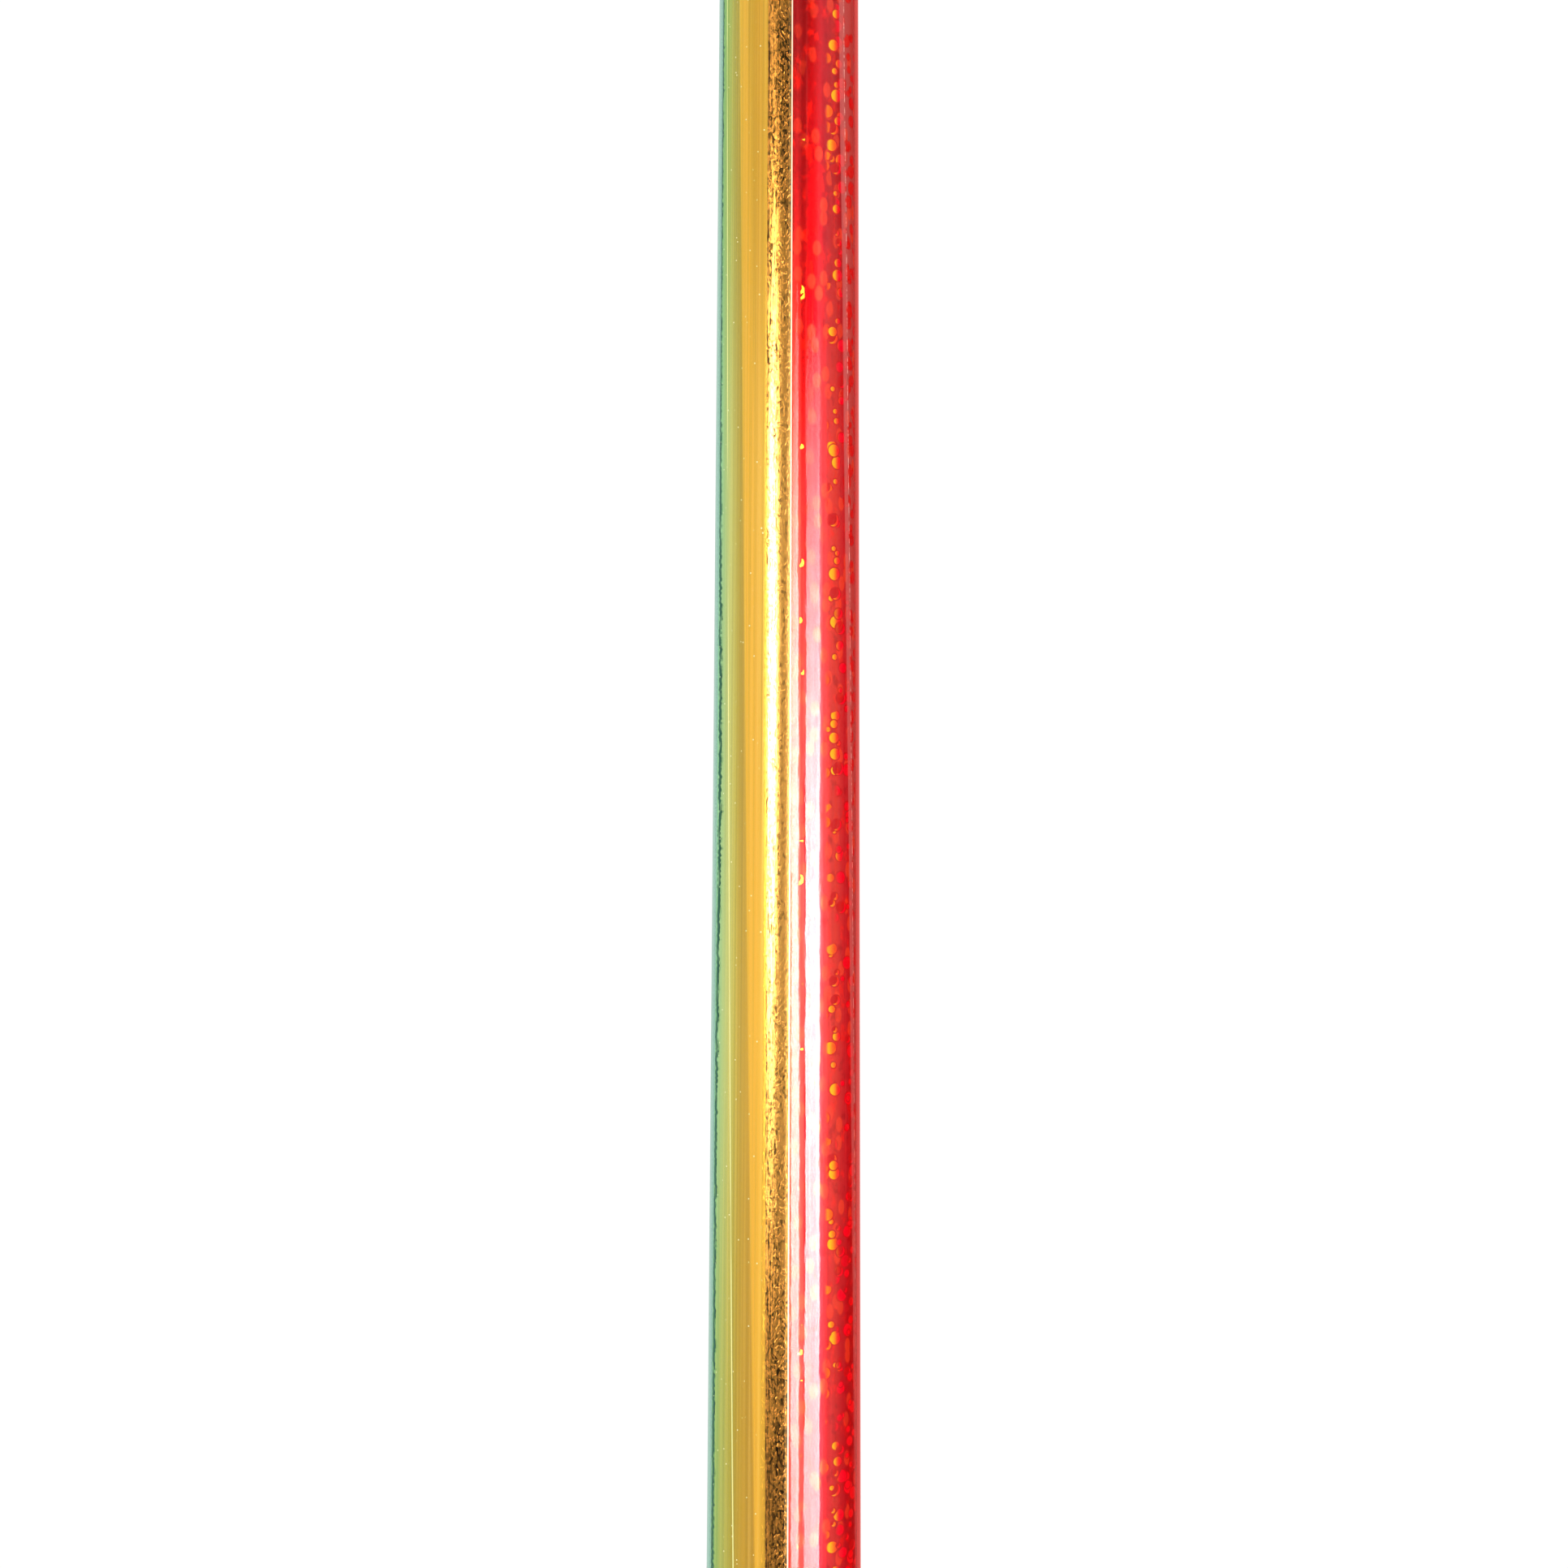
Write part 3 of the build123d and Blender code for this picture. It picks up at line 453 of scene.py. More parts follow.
def painted_end_shade(s, x, tone, shade_tint):
    """Painted shade where the light falls off: the film is left lighter over a stretch in front of the grip,
    and darkened before and beyond it.
    """
    shaded_ends = s.math("MAXIMUM", s.step(x, 104.0, 77.0), s.step(x, *TIP_SHADE_STATIONS))
    return s.mix(shaded_ends, tone, shade_tint, "MULTIPLY")


def green_gold_material():
    s = Shader("green_gold_film")
    x, angle, skewed, flat = around_shaft(s)
    tone = film_colour(s, s.add(angle, s.times(s.wander(x, 0.05), 1.0)), GREEN_STOPS)
    # painted shade: the film darkens towards both ends
    tone = painted_end_shade(s, x, tone, tint(230, 226, 176))
    # the film's gold dye stops at a soft step, darkest just beyond it
    beyond = s.times(s.step(skewed, -33.2, -35.4), s.step(skewed, -48.0, -37.0))
    tone = s.mix(s.times(beyond, 0.3), tone, tint(150, 118, 40))
    gold_side = s.times(s.step(skewed, -34.8, -33.0), s.step(skewed, -20.0, -27.0))
    tone = s.mix(s.times(gold_side, 0.6), tone, tint(255, 190, 54))
    # fine streaks drawn along the film
    streaks = s.noise(flat, (0.02, 6.0), 4.0, 0.6)
    tone = s.mix(s.step(streaks, 0.48, 0.7, 0.0, 0.26), tone, tint(255, 214, 110))
    tone = s.mix(s.step(streaks, 0.52, 0.3, 0.0, 0.24), tone, tint(140, 126, 44))
    # a long crinkled fold drawn as painted shade: a dark green line that wanders round the side
    course = s.add(s.step(x, 92.0, 113.0, -72.6, -68.6), s.step(x, 114.0, 143.0, 0.0, -7.6))
    jagged = s.add(s.times(s.wander(x, 0.8, 5.0), 7.0), s.times(s.wander(x, 4.0, 3.0), 6.0))
    line_angle = s.math("SUBTRACT", s.add(angle, jagged), course)
    breaks = s.noise(flat, (0.9, 3.0), 3.0)
    fold_shade = s.times(s.band(line_angle, -2.9, 2.9, 0.6), s.step(breaks, 0.34, 0.48, 0.45, 1.0))
    tone = s.mix(fold_shade, tone, tint(8, 62, 40))
    # fainter painted shade just beside the fold
    fold_shade_beside = s.times(s.band(line_angle, 4.0, 5.6, 0.6), s.step(breaks, 0.5, 0.6))
    tone = s.mix(s.times(fold_shade_beside, 0.5), tone, tint(40, 120, 70))
    # a hairline crease whose ridge carries a painted bright yellow highlight
    crease_highlight = s.band(s.add(skewed, s.times(s.wander(x, 0.02), 1.5)), -53.7, -52.6, 0.4)
    crease_highlight = s.times(crease_highlight, s.step(s.noise(flat, (0.05, 0.0)), 0.35, 0.5))
    tone = s.mix(crease_highlight, tone, tint(255, 250, 165))
    # painted glints: tiny bright specks scattered over the film
    specks = s.cells(flat, 1.1, dimensions="2D")
    painted_glints = s.times(s.step(specks.outputs["Distance"], 0.05, 0.03), s.step(breaks, 0.5, 0.6))
    tone = s.mix(painted_glints, tone, tint(255, 250, 200))
    normal = s.bump(streaks, 0.002 * MM)
    normal = s.bump(s.times(fold_shade, -1.0), 0.01 * MM, normal)
    roughness = s.step(streaks, 0.2, 0.8, 0.12, 0.2)
    coat = s.step(angle, -50.0, -66.0, COAT, 0.2 * COAT)
    return s.finish(
        Base_Color=tone, Metallic=1.0, Specular_Tint=tint(200, 240, 220), Roughness=roughness,
        Normal=normal, Coat_Weight=coat, Coat_Roughness=0.03, Coat_Normal=crinkle(s, flat),
    )


def crinkle(s, flat):
    """The clear wrap's own faint unevenness, which makes its reflections wavy."""
    return s.bump(s.noise(flat, (0.25, 1.2), 4.0, 0.6), 0.01 * MM)


def scatter_of_dots(s, flat, along, around, shift):
    """A loose scatter of ellipses: the distance and the vector from the nearest one's middle, in units of the
    scatter's cells, and that one's dice."""
    moved = s.node("VectorMath", {0: flat, 1: shift}, operation="ADD").outputs[0]
    scaled = s.stretched(moved, along, around)
    dots = s.cells(scaled, 1.0, dimensions="2D")
    away = s.node("VectorMath", {0: scaled, 1: dots.outputs["Position"]}, operation="SUBTRACT").outputs[0]
    return dots.outputs["Distance"], away, s.split(dots.outputs["Color"])


def outlined_dots(s, flat, angle, dull, tone, shift, hot_band):
    """Lays a scatter of outlined dots over a colour: hot ones in one band of angles and deep ones beyond it.
    Some have a bite out of them, and a few show as painted glints, bright chips near the tape."""
    distance, away, dice = scatter_of_dots(s, flat, 1.0, 0.8, shift)
    size = s.step(dice[0], 0.0, 1.0, 0.2, 0.42)
    shown = s.step(dice[1], 0.2, 0.24)
    depth = s.math("SUBTRACT", size, distance)
    inside = s.times(shown, s.step(depth, -0.02, 0.03))
    core = s.times(shown, s.step(depth, 0.05, 0.09))
    x_away, y_away, _ = s.split(away)
    from_bite = s.combine(s.add(x_away, -0.1), s.add(y_away, 0.16), 0.0)
    bite = s.node("VectorMath", {0: from_bite}, operation="LENGTH").outputs["Value"]
    bitten = s.times(s.step(dice[2], 0.76, 0.8), s.step(s.math("SUBTRACT", bite, size), 0.0, -0.05))
    core = s.times(core, s.add(1.0, s.times(bitten, -1.0)))
    hot = s.times(s.band(angle, *hot_band, 2.0), s.step(dice[2], 0.15, 0.2))
    hot_colour = s.mix(s.step(y_away, 0.2, -0.2), tint(255, 90, 0), tint(255, 176, 0))
    deep = s.band(angle, 44.0, 110.0, 3.0)
    deep_colour = s.mix(dull, tint(244, 0, 34), tint(232, 52, 44))
    tone = s.mix(s.times(inside, s.math("MAXIMUM", hot, s.times(deep, 0.7))), tone, tint(204, 12, 12))
    tone = s.mix(s.times(core, hot), tone, hot_colour)
    tone = s.mix(s.times(s.times(core, deep), s.step(dull, 0.0, 1.0, 0.9, 0.5)), tone, deep_colour)
    # painted glints: a few dots near the tape show as bright yellow chips
    glint_chip = s.times(s.times(core, s.band(angle, 10.6, 13.6, 0.6)), s.step(dice[2], 0.8, 0.84))
    return s.mix(glint_chip, tone, tint(255, 236, 60))


def red_hologram_material():
    s = Shader("red_hologram_film")
    x, angle, skewed, flat = around_shaft(s)
    tone = film_colour(s, angle, RED_STOPS)
    # painted shade: the film darkens towards both ends, and more towards the tip
    tone = painted_end_shade(s, x, tone, tint(236, 170, 196))
    tone = s.mix(s.step(x, *TIP_SHADE_STATIONS), tone, tint(226, 190, 210), "MULTIPLY")
    streaks = s.noise(flat, (0.03, 5.0), 4.0, 0.6)
    tone = s.mix(s.step(streaks, 0.5, 0.75, 0.0, 0.12), tone, tint(240, 90, 90))
    tone = s.mix(s.step(streaks, 0.48, 0.3, 0.0, 0.25), tone, tint(160, 8, 24))
    clouds = s.noise(flat, (0.8, 1.2), 3.0, 0.6)
    tone = s.mix(s.step(clouds, 0.52, 0.7, 0.0, 0.45), tone, tint(252, 24, 0))
    tone = s.mix(s.step(clouds, 0.46, 0.3, 0.0, 0.4), tone, tint(140, 0, 12))
    # painted light: a paler strip beside the tape, a glow painted between the strips' highlights, which ends
    # towards the tip
    pale = s.band(s.add(angle, s.times(s.wander(x, 0.12, 2.0), 2.4)), 9.4, 14.6, 0.9)
    tone = s.mix(s.times(pale, s.step(x, 140.0, 124.0, 0.0, 0.4)), tone, tint(190, 60, 52))
    # beyond the wrap's lap the film is seen through two layers, and is duller
    lap_angle = s.add(skewed, s.times(s.wander(x, 0.05), 2.0))
    dull = s.step(lap_angle, 62.0, 66.0)
    tone = s.mix(s.times(dull, 0.85), tone, tint(192, 84, 78))
    # the hologram's dots: large faint ones everywhere, then two scatters of outlined ones
    distance, _, dice = scatter_of_dots(s, flat, 0.7, 1.1, (3.1, 1.7, 0.0))
    faint = s.times(s.step(distance, 0.36, 0.24), s.step(dice[1], 0.3, 0.4))
    tone = s.mix(s.times(faint, s.step(angle, 24.0, 30.0, 0.2, 0.5)), tone, tint(250, 70, 36))
    tone = outlined_dots(s, flat, angle, dull, tone, (0.0, 0.0, 0.0), (35.0, 48.0))
    tone = outlined_dots(s, flat, angle, dull, tone, (7.3, 4.9, 0.0), (34.5, 46.0))
    # the lap itself: a greyish pink strip with a pale broken hairline
    lap = s.band(lap_angle, 60.0, 65.5, 0.8)
    tone = s.mix(s.times(lap, 0.55), tone, tint(214, 112, 106))
    broken = s.noise(flat, (1.5, 0.0), 4.0, 0.7)
    hairline = s.times(s.band(lap_angle, 66.0, 67.0, 0.4), s.step(broken, 0.42, 0.6))
    tone = s.mix(s.times(hairline, 0.8), tone, tint(255, 190, 180))
    normal = s.bump(streaks, 0.003 * MM)
    normal = s.bump(s.noise(flat, (0.35, 1.4), 3.0), 0.008 * MM, normal)
    coat = s.step(angle, 36.0, 54.0, COAT, 0.1 * COAT)
    return s.finish(
        Base_Color=tone, Metallic=1.0, Specular_Tint=tint(226, 158, 158), Roughness=0.22,
        Normal=normal, Coat_Weight=coat, Coat_Roughness=0.03, Coat_Normal=crinkle(s, flat),
    )


def gold_glitter_material():
    s = Shader("gold_glitter_tape")
    x, angle, _, flat = around_shaft(s)
    grain = s.cells(s.stretched(flat, 0.8, 1.25), 8.0, dimensions="2D")
    dice = s.split(grain.outputs["Color"])
    coarse = s.noise(flat, (0.3, 2.4), 4.0, 0.6, 0.5)
    streaks = s.noise(flat, (0.4, 13.0), 4.0, 0.7, 0.3)
    # worn streaks towards its left edge, and grains of glitter towards its right one
    right = s.step(angle, -10.0, -4.0)
    grains = s.add(s.times(dice[0], 0.6), s.add(s.times(streaks, 0.8), 0.15))
    lightness = s.blend(right, s.add(s.times(streaks, 1.4), s.times(dice[0], 0.3)), grains)
    lightness = s.add(lightness, s.times(coarse, 0.5))
    # painted light: the glitter's right part is lighter over stations 84 to 148, where the strips light it
    lightness = s.add(lightness, s.times(s.times(right, s.band(x, 84.0, 148.0, 8.0)), 0.3))
    tone = s.mix(s.step(lightness, 0.8, 1.35), tint(60, 38, 12), tint(248, 180, 88))
    # painted shade: the tape darkens towards both ends
    tone = painted_end_shade(s, x, tone, tint(222, 210, 190))
    # both edges are lighter: the left one shows a thin strip of the film's gold, and the right one is worn
    bare = s.step(s.add(angle, s.times(s.add(x, -SKEW_STATION), 0.046)), -15.8, -16.6)
    tone = s.mix(s.times(bare, s.step(angle, -60.0, -30.0)), tone, tint(236, 176, 62))
    edge = s.band(angle, 0.5, 1.2, 0.5)
    tone = s.mix(s.times(edge, 0.5), tone, tint(240, 190, 130))
    normal = s.bump(streaks, 0.002 * MM)
    normal = s.bump(dice[1], 0.0015 * MM, normal)
    return s.finish(
        Base_Color=tone, Metallic=1.0, Roughness=0.17, Normal=normal, Coat_Weight=0.25 * COAT,
        Coat_Roughness=0.03, Coat_Normal=crinkle(s, flat),
    )


def clear_wrap_material():
    """Clear film: unseen where it faces the eye, with one cloudy edge, and a tinted rim at a slant, a painted
    reflection with the film seen through it.
    """
    s = Shader("clear_wrap")
    _, angle, _, _ = around_shaft(s)
    edge = s.band(angle, 2.3, 3.3, 0.25)
    facing = s.node("LayerWeight", {"Blend": 0.5}).outputs["Facing"]
    rim = s.times(s.step(facing, 0.7, 0.78), 0.9)
    alpha = s.math("MAXIMUM", rim, s.times(edge, 0.6))
    # painted reflection: the rim's tint by angle, mint over the green film and dull red over the red one
    stops = (
        (-180, (178, 120, 110)), (-151, (168, 222, 204)), (-22, (178, 226, 206)), (-4, (250, 205, 176)),
        (18, (250, 205, 176)), (58, (152, 50, 47)), (77, (146, 48, 45)), (85, (172, 92, 86)),
        (162, (176, 92, 86)), (180, (178, 120, 110)),
    )
    places = [((at + 180) / 360, tint(*rgb)) for at, rgb in stops]
    tone = s.ramp(s.times(s.add(angle, 180.0), 1 / 360), places)
    return s.finish(
        Base_Color=tone, Metallic=s.step(angle, -20.0, 20.0, 1.0, 0.0), Roughness=0.2, Alpha=alpha,
        Specular_Tint=tint(220, 224, 220), Specular_IOR_Level=0.0,
    )


# how far over the core a layer's two faces lie, how high the outer one ripples, and its columns of points
FILM = (0.01, 0.10, 0.006, 121)
TAPE = (0.105, 0.14, 0.006, 21)
WRAP = (0.15, 0.23, 0.0, 121)
GREEN_ANGLES = (FILM_SEAM - 180 + SEAM_GAP, FILM_SEAM - SEAM_GAP)
RED_ANGLES = (FILM_SEAM + SEAM_GAP, FILM_SEAM + 180 - SEAM_GAP)
gold = gold_glitter_material()
for node, name, layer, angles, material, slot in (
    ("green_gold_film", "green_gold_wrap", FILM, GREEN_ANGLES, green_gold_material(), "green_gold"),
    ("red_hologram_film", "red_hologram_wrap", FILM, RED_ANGLES, red_hologram_material(), "red_holo"),
    ("front_seam_tape", "front_glitter_tape", TAPE, (-17.5, 2.8), gold, "gold_glitter"),
    ("back_seam_tape", "back_glitter_tape", TAPE, (162.0, 182.0), gold, "gold_glitter"),
    ("clear_overwrap", "clear_wrap", WRAP, (-180.0, 179.9), clear_wrap_material(), "clear"),
):
    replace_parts(shaft_shell(name, layer, angles, material, slot), node)


# ---- Finishes of the small parts ----


def metal_material(name, colour, dull, roughness, turned=True):
    """Bright metal: fine marks round the axis where it was turned, or along the wire, with dull patches."""
    s = Shader(name)
    place = s.place()
    x, y, z = s.split(place)
    if turned:
        radius = s.math("SQRT", s.add(s.times(y, y), s.times(z, z)))
        marks = s.noise(s.combine(s.times(x, 9.0), s.times(radius, 9.0), 0.0), 1.0, 5.0, 0.7)
    else:
        marks = s.noise(place, (2.0, 9.0, 9.0), 5.0, 0.7)
    clouds = s.noise(place, 0.9, 4.0, 0.6)
    scuffs = s.noise(s.stretched(place, 1.0, 5.0, 5.0), 1.3, 6.0, 0.75, 0.6)
    tone = s.mix(s.step(clouds, 0.42, 0.68, 0.0, 0.15), colour, dull)
    tone = s.mix(s.step(marks, 0.5, 0.75, 0.0, 0.25), tone, dull)
    worn = s.add(s.times(clouds, 0.6), s.times(marks, 0.4))
    shine = s.add(s.step(worn, 0.3, 0.7, *roughness), s.step(scuffs, 0.6, 0.7, 0.0, 0.12))
    normal = s.bump(marks, 0.0012 * MM)
    normal = s.bump(s.step(scuffs, 0.6, 0.72), -0.002 * MM, normal)
    return s.finish(Base_Color=tone, Metallic=1.0, Roughness=shine, Normal=normal)


def moulded_material(name, colour, worn_colour, grain, depth, roughness):
    """Moulded rubber or plastic: a fine all-over grain, faint clouds, and lighter rubbed streaks."""
    s = Shader(name)
    place = s.place()
    pores = s.cells(place, grain)
    clouds = s.noise(place, 0.25, 4.0, 0.6)
    rubbed = s.noise(place, (0.35, 1.2, 1.2), 6.0, 0.7, 0.4)
    tone = s.mix(s.step(clouds, 0.35, 0.7, 0.0, 0.35), colour, worn_colour)
    tone = s.mix(s.step(rubbed, 0.56, 0.72, 0.0, 0.5), tone, worn_colour)
    tone = s.mix(s.step(pores.outputs["Distance"], 0.5, 0.1, 0.0, 0.3), tone, tint(8, 8, 9))
    shine = s.add(s.step(rubbed, 0.4, 0.75, *roughness), s.step(clouds, 0.3, 0.7, 0.0, 0.06))
    normal = s.bump(pores.outputs["Distance"], depth)
    normal = s.bump(rubbed, 0.01 * MM, normal)
    return s.finish(Base_Color=tone, Roughness=shine, Normal=normal, Specular_IOR_Level=0.4)


def glass_fibre_material():
    """Pultruded glass fibre: cream resin with long pale fibres just under its surface."""
    s = Shader("glass_fibre")
    place = s.place()
    fibres = s.noise(place, (0.04, 7.0, 7.0), 5.0, 0.7)
    clouds = s.noise(place, (0.1, 0.6, 0.6), 3.0)
    tone = s.mix(s.step(fibres, 0.35, 0.7), tint(196, 188, 160), tint(236, 232, 214))
    tone = s.mix(s.step(clouds, 0.5, 0.75, 0.0, 0.4), tone, tint(206, 196, 150))
    shine = s.step(fibres, 0.3, 0.7, 0.22, 0.4)
    normal = s.bump(fibres, 0.004 * MM)
    return s.finish(Base_Color=tone, Roughness=shine, Normal=normal, Subsurface_Weight=0.1)


def give(material, *nodes):
    """Gives a material to CAD nodes, whose shapes stay as they are."""
    for node in nodes:
        for slot in bpy.data.objects[node].material_slots:
            slot.link = "OBJECT"
            slot.material = material


chrome = metal_material("polished_chrome", tint(196, 198, 205), tint(166, 169, 177), roughness=(0.04, 0.12))
brass = metal_material("bright_brass", tint(226, 184, 98), tint(168, 122, 52), roughness=(0.14, 0.32))
steel = metal_material(
    "drawn_steel", tint(172, 174, 180), tint(128, 130, 137), roughness=(0.12, 0.26), turned=False
)
give(chrome, "grip_band", "butt_inlay", "tip_ferrule")
give(brass, "ferrule_cap", "swivel_barrel")
give(
    steel, "bearing_balls", "tip_eye_pin", "jump_ring", "swivel_rear_eye", "swivel_front_eye",
    "hook_frame", "hook_gate", "gate_pin", "gate_spring",
)
cap_plastic = moulded_material(
    "cap_plastic", tint(26, 26, 29), tint(58, 58, 62), grain=9.0, depth=0.004 * MM, roughness=(0.24, 0.42)
)
collar_plastic = moulded_material(
    "shrunk_collar", tint(22, 22, 24), tint(50, 50, 53), grain=7.0, depth=0.008 * MM, roughness=(0.4, 0.55)
)
give(cap_plastic, "butt_cap")
give(collar_plastic, "shrink_collar")
give(glass_fibre_material(), "shaft_core")


# ---- The grip ----

GRIP_RADIUS = 5.0
GRIP_BORE = 4.29
GRIP_HALF_LENGTH = 50.0
GRIP_ROUNDING = 0.35
GRIP_ROWS = 715
GRIP_SIDES = 96
GROOVE_PITCH = 2.4
GROOVES = [2.2 + GROOVE_PITCH * index for index in range(3)]  # how far their middles are from either end
GROOVE_WIDTH = 1.0
GROOVE_DEPTH = 0.3
RIB_PITCH = 1.4
RIB_DEPTH = 0.14
RIBBED_HALF_LENGTH = 39.0


def grip_radius(station):
    """The grip's outline: rounded ends, flat-bottomed grooves near each end, and fine ribs between them."""
    inset = GRIP_HALF_LENGTH - np.abs(station)
    radius = np.full_like(station, GRIP_RADIUS)
    for middle in GROOVES:
        radius -= GROOVE_DEPTH * np.clip(1 - (2 * (inset - middle) / GROOVE_WIDTH) ** 4, 0, 1)
    ribbed = np.clip((RIBBED_HALF_LENGTH - np.abs(station)) / RIB_PITCH, 0, 1)
    radius -= RIB_DEPTH * ribbed * (1 - np.abs(np.cos(math.pi * station / RIB_PITCH)) ** 0.7)
    corner = np.clip(1 - inset / GRIP_ROUNDING, 0, 1)
    return radius - GRIP_ROUNDING * (1 - np.sqrt(1 - corner**2))


def make_grip():
    stations = np.linspace(-GRIP_HALF_LENGTH, GRIP_HALF_LENGTH, GRIP_ROWS)
    radii = grip_radius(stations)
    stations = np.concatenate([stations, [GRIP_HALF_LENGTH, -GRIP_HALF_LENGTH]])
    radii = np.concatenate([radii, [GRIP_BORE, GRIP_BORE]])
    angles = np.linspace(0, 2 * math.pi, GRIP_SIDES, endpoint=False)
    x = np.repeat(stations[:, None], GRIP_SIDES, axis=1)
    points = np.stack([x, np.outer(radii, np.sin(angles)), np.outer(radii, np.cos(angles))], axis=-1)
    faces = grid_faces(len(stations), GRIP_SIDES, closed_rows=True)
    rubber = moulded_material(
        "grip_rubber", tint(14, 14, 16), tint(34, 34, 37), grain=5.0, depth=0.02 * MM, roughness=(0.5, 0.68)
    )
    grip = new_piece("rubber_grip", points.reshape(-1, 3), faces, rubber, "stick", "grip_rubber")
    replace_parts(grip, "grip_sleeve")


make_grip()


# ---- The ribbon ----

strap_low, strap_high = (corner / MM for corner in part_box("ribbon_strap"))
roll_low, roll_high = (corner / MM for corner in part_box("ribbon"))
GROUND = REST_HEIGHT / MM
RIBBON_HALF_WIDTH = 25.0
SATIN = 0.15
HEM_EDGE = 23.3
COLUMNS = (-25, -24.2, -23.4, -22.9, -10, 10, 22.9, 23.4, 24.2, 25)
RIBBON_LENGTH = 6000.0
DOUBLING_LENGTH = 1000.0
POINT_START = roll_low.x
POINT_LENGTH = 34.0
POINT_HALF_WIDTH = 3.5
STRAP_END = strap_high.x
LANDING = STRAP_END + 9.0  # where the lead comes down to the surface
STRAP_GAP_HEIGHT = GROUND + 0.51  # the underside of the ribbon between the strap's tails
LEAD_ROWS = 110
WAVE_HEIGHT = 0.7
ROLL_RADIUS = 25.0
ROLL_BORE = 7.1
ROLL_STATION = roll_high.x - ROLL_RADIUS
ROLL_HEIGHT = GROUND + ROLL_RADIUS
DOUBLED_PITCH = 0.32  # how much the roll's radius shrinks in each turn of two layers
STEPS_IN_A_TURN = 72
TIE_DENT = 0.35  # how deep the tie presses into the top of the roll
DENT_SPREAD = 11  # degrees
UNEVENNESS = 0.13  # how far the roll's layers wander sideways


def lead_height(station, across, level):
    """The height of the middle of a layer of the lead, which comes down to the surface in low waves."""
    down = np.clip((station - STRAP_END) / (LANDING - STRAP_END), 0, 1)
    base = STRAP_GAP_HEIGHT + (GROUND - STRAP_GAP_HEIGHT) * down**2 * (3 - 2 * down)
    free = np.sin(math.pi * np.clip((station - STRAP_END) / (ROLL_STATION - STRAP_END), 0, 1)) ** 2
    long_wave = np.sin(0.17 * station + 0.11 * across)
    short_wave = np.sin(0.31 * station - 0.16 * across + 1)
    waves = 0.5 + 0.3 * long_wave + 0.2 * short_wave
    return base + WAVE_HEIGHT * free * waves + SATIN * (level + 0.5)


def half_width(station):
    """Half the ribbon's width, which narrows to the strap."""
    opened = np.clip((station - POINT_START) / POINT_LENGTH, 0, 1)
    return POINT_HALF_WIDTH + (RIBBON_HALF_WIDTH - POINT_HALF_WIDTH) * opened


def roll_path(first_radius, turns, doubled_turns, single_pitch):
    """The rolled part's turns, counted from where it leaves the surface, and its radius at each."""
    turn = np.arange(1, int(turns * STEPS_IN_A_TURN) + 1) / STEPS_IN_A_TURN
    radius = first_radius - DOUBLED_PITCH * np.minimum(turn, doubled_turns)
    radius -= single_pitch * np.maximum(turn - doubled_turns, 0)
    from_top = (turn % 1 - 0.5) * 360
    depth = (radius - ROLL_BORE) / (ROLL_RADIUS - ROLL_BORE)
    return turn, radius - TIE_DENT * depth * np.exp(-((from_top / DENT_SPREAD) ** 2))


def turns_for(length, radius, pitch):
    """How many turns of a spiral use up a length, from an outer radius inwards."""
    mean = 2 * math.pi * radius
    return (mean - math.sqrt(mean**2 - 4 * math.pi * pitch * length)) / (2 * math.pi * pitch)


def make_sheet(name, level, path, material):
    """A long satin sheet: its lead lies on the surface, and the rest follows the roll's path."""
    turn, radius = path
    stations = np.linspace(POINT_START, ROLL_STATION, LEAD_ROWS)
    spread = np.array(COLUMNS) / RIBBON_HALF_WIDTH
    across = np.concatenate(
        [np.outer(half_width(stations), spread), np.outer(np.full(len(turn), RIBBON_HALF_WIDTH), spread)]
    )
    shift = UNEVENNESS * np.clip(turn, 0, 1) * (np.sin(2.1 * turn) + 0.6 * np.sin(5.3 * turn + 2))
    x = np.concatenate([stations, ROLL_STATION + radius * np.sin(2 * math.pi * turn)])
    middle = np.repeat(x[:, None], len(spread), axis=1)
    lead = lead_height(stations[:, None], across[:LEAD_ROWS], level)
    rolled = np.repeat((ROLL_HEIGHT - radius * np.cos(2 * math.pi * turn))[:, None], len(spread), axis=1)
    height = np.concatenate([lead, rolled])
    step_x, step_z = np.gradient(middle, axis=0), np.gradient(height, axis=0)
    size = np.hypot(step_x, step_z)
    along = np.cumsum(size, axis=0)
    half = np.where(np.abs(COLUMNS) > HEM_EDGE, 0.5 * SATIN, 0.43 * SATIN)
    out_x, out_z = step_z / size * half, -step_x / size * half
    y = across.copy()
    y[LEAD_ROWS:] += shift[:, None]
    outside = np.stack([middle + out_x, y, height + out_z], axis=-1)
    inside = np.stack([middle - out_x, y, height - out_z], axis=-1)
    return skin(name, outside, inside, material, "ribbon", "satin", along=along, across=across)


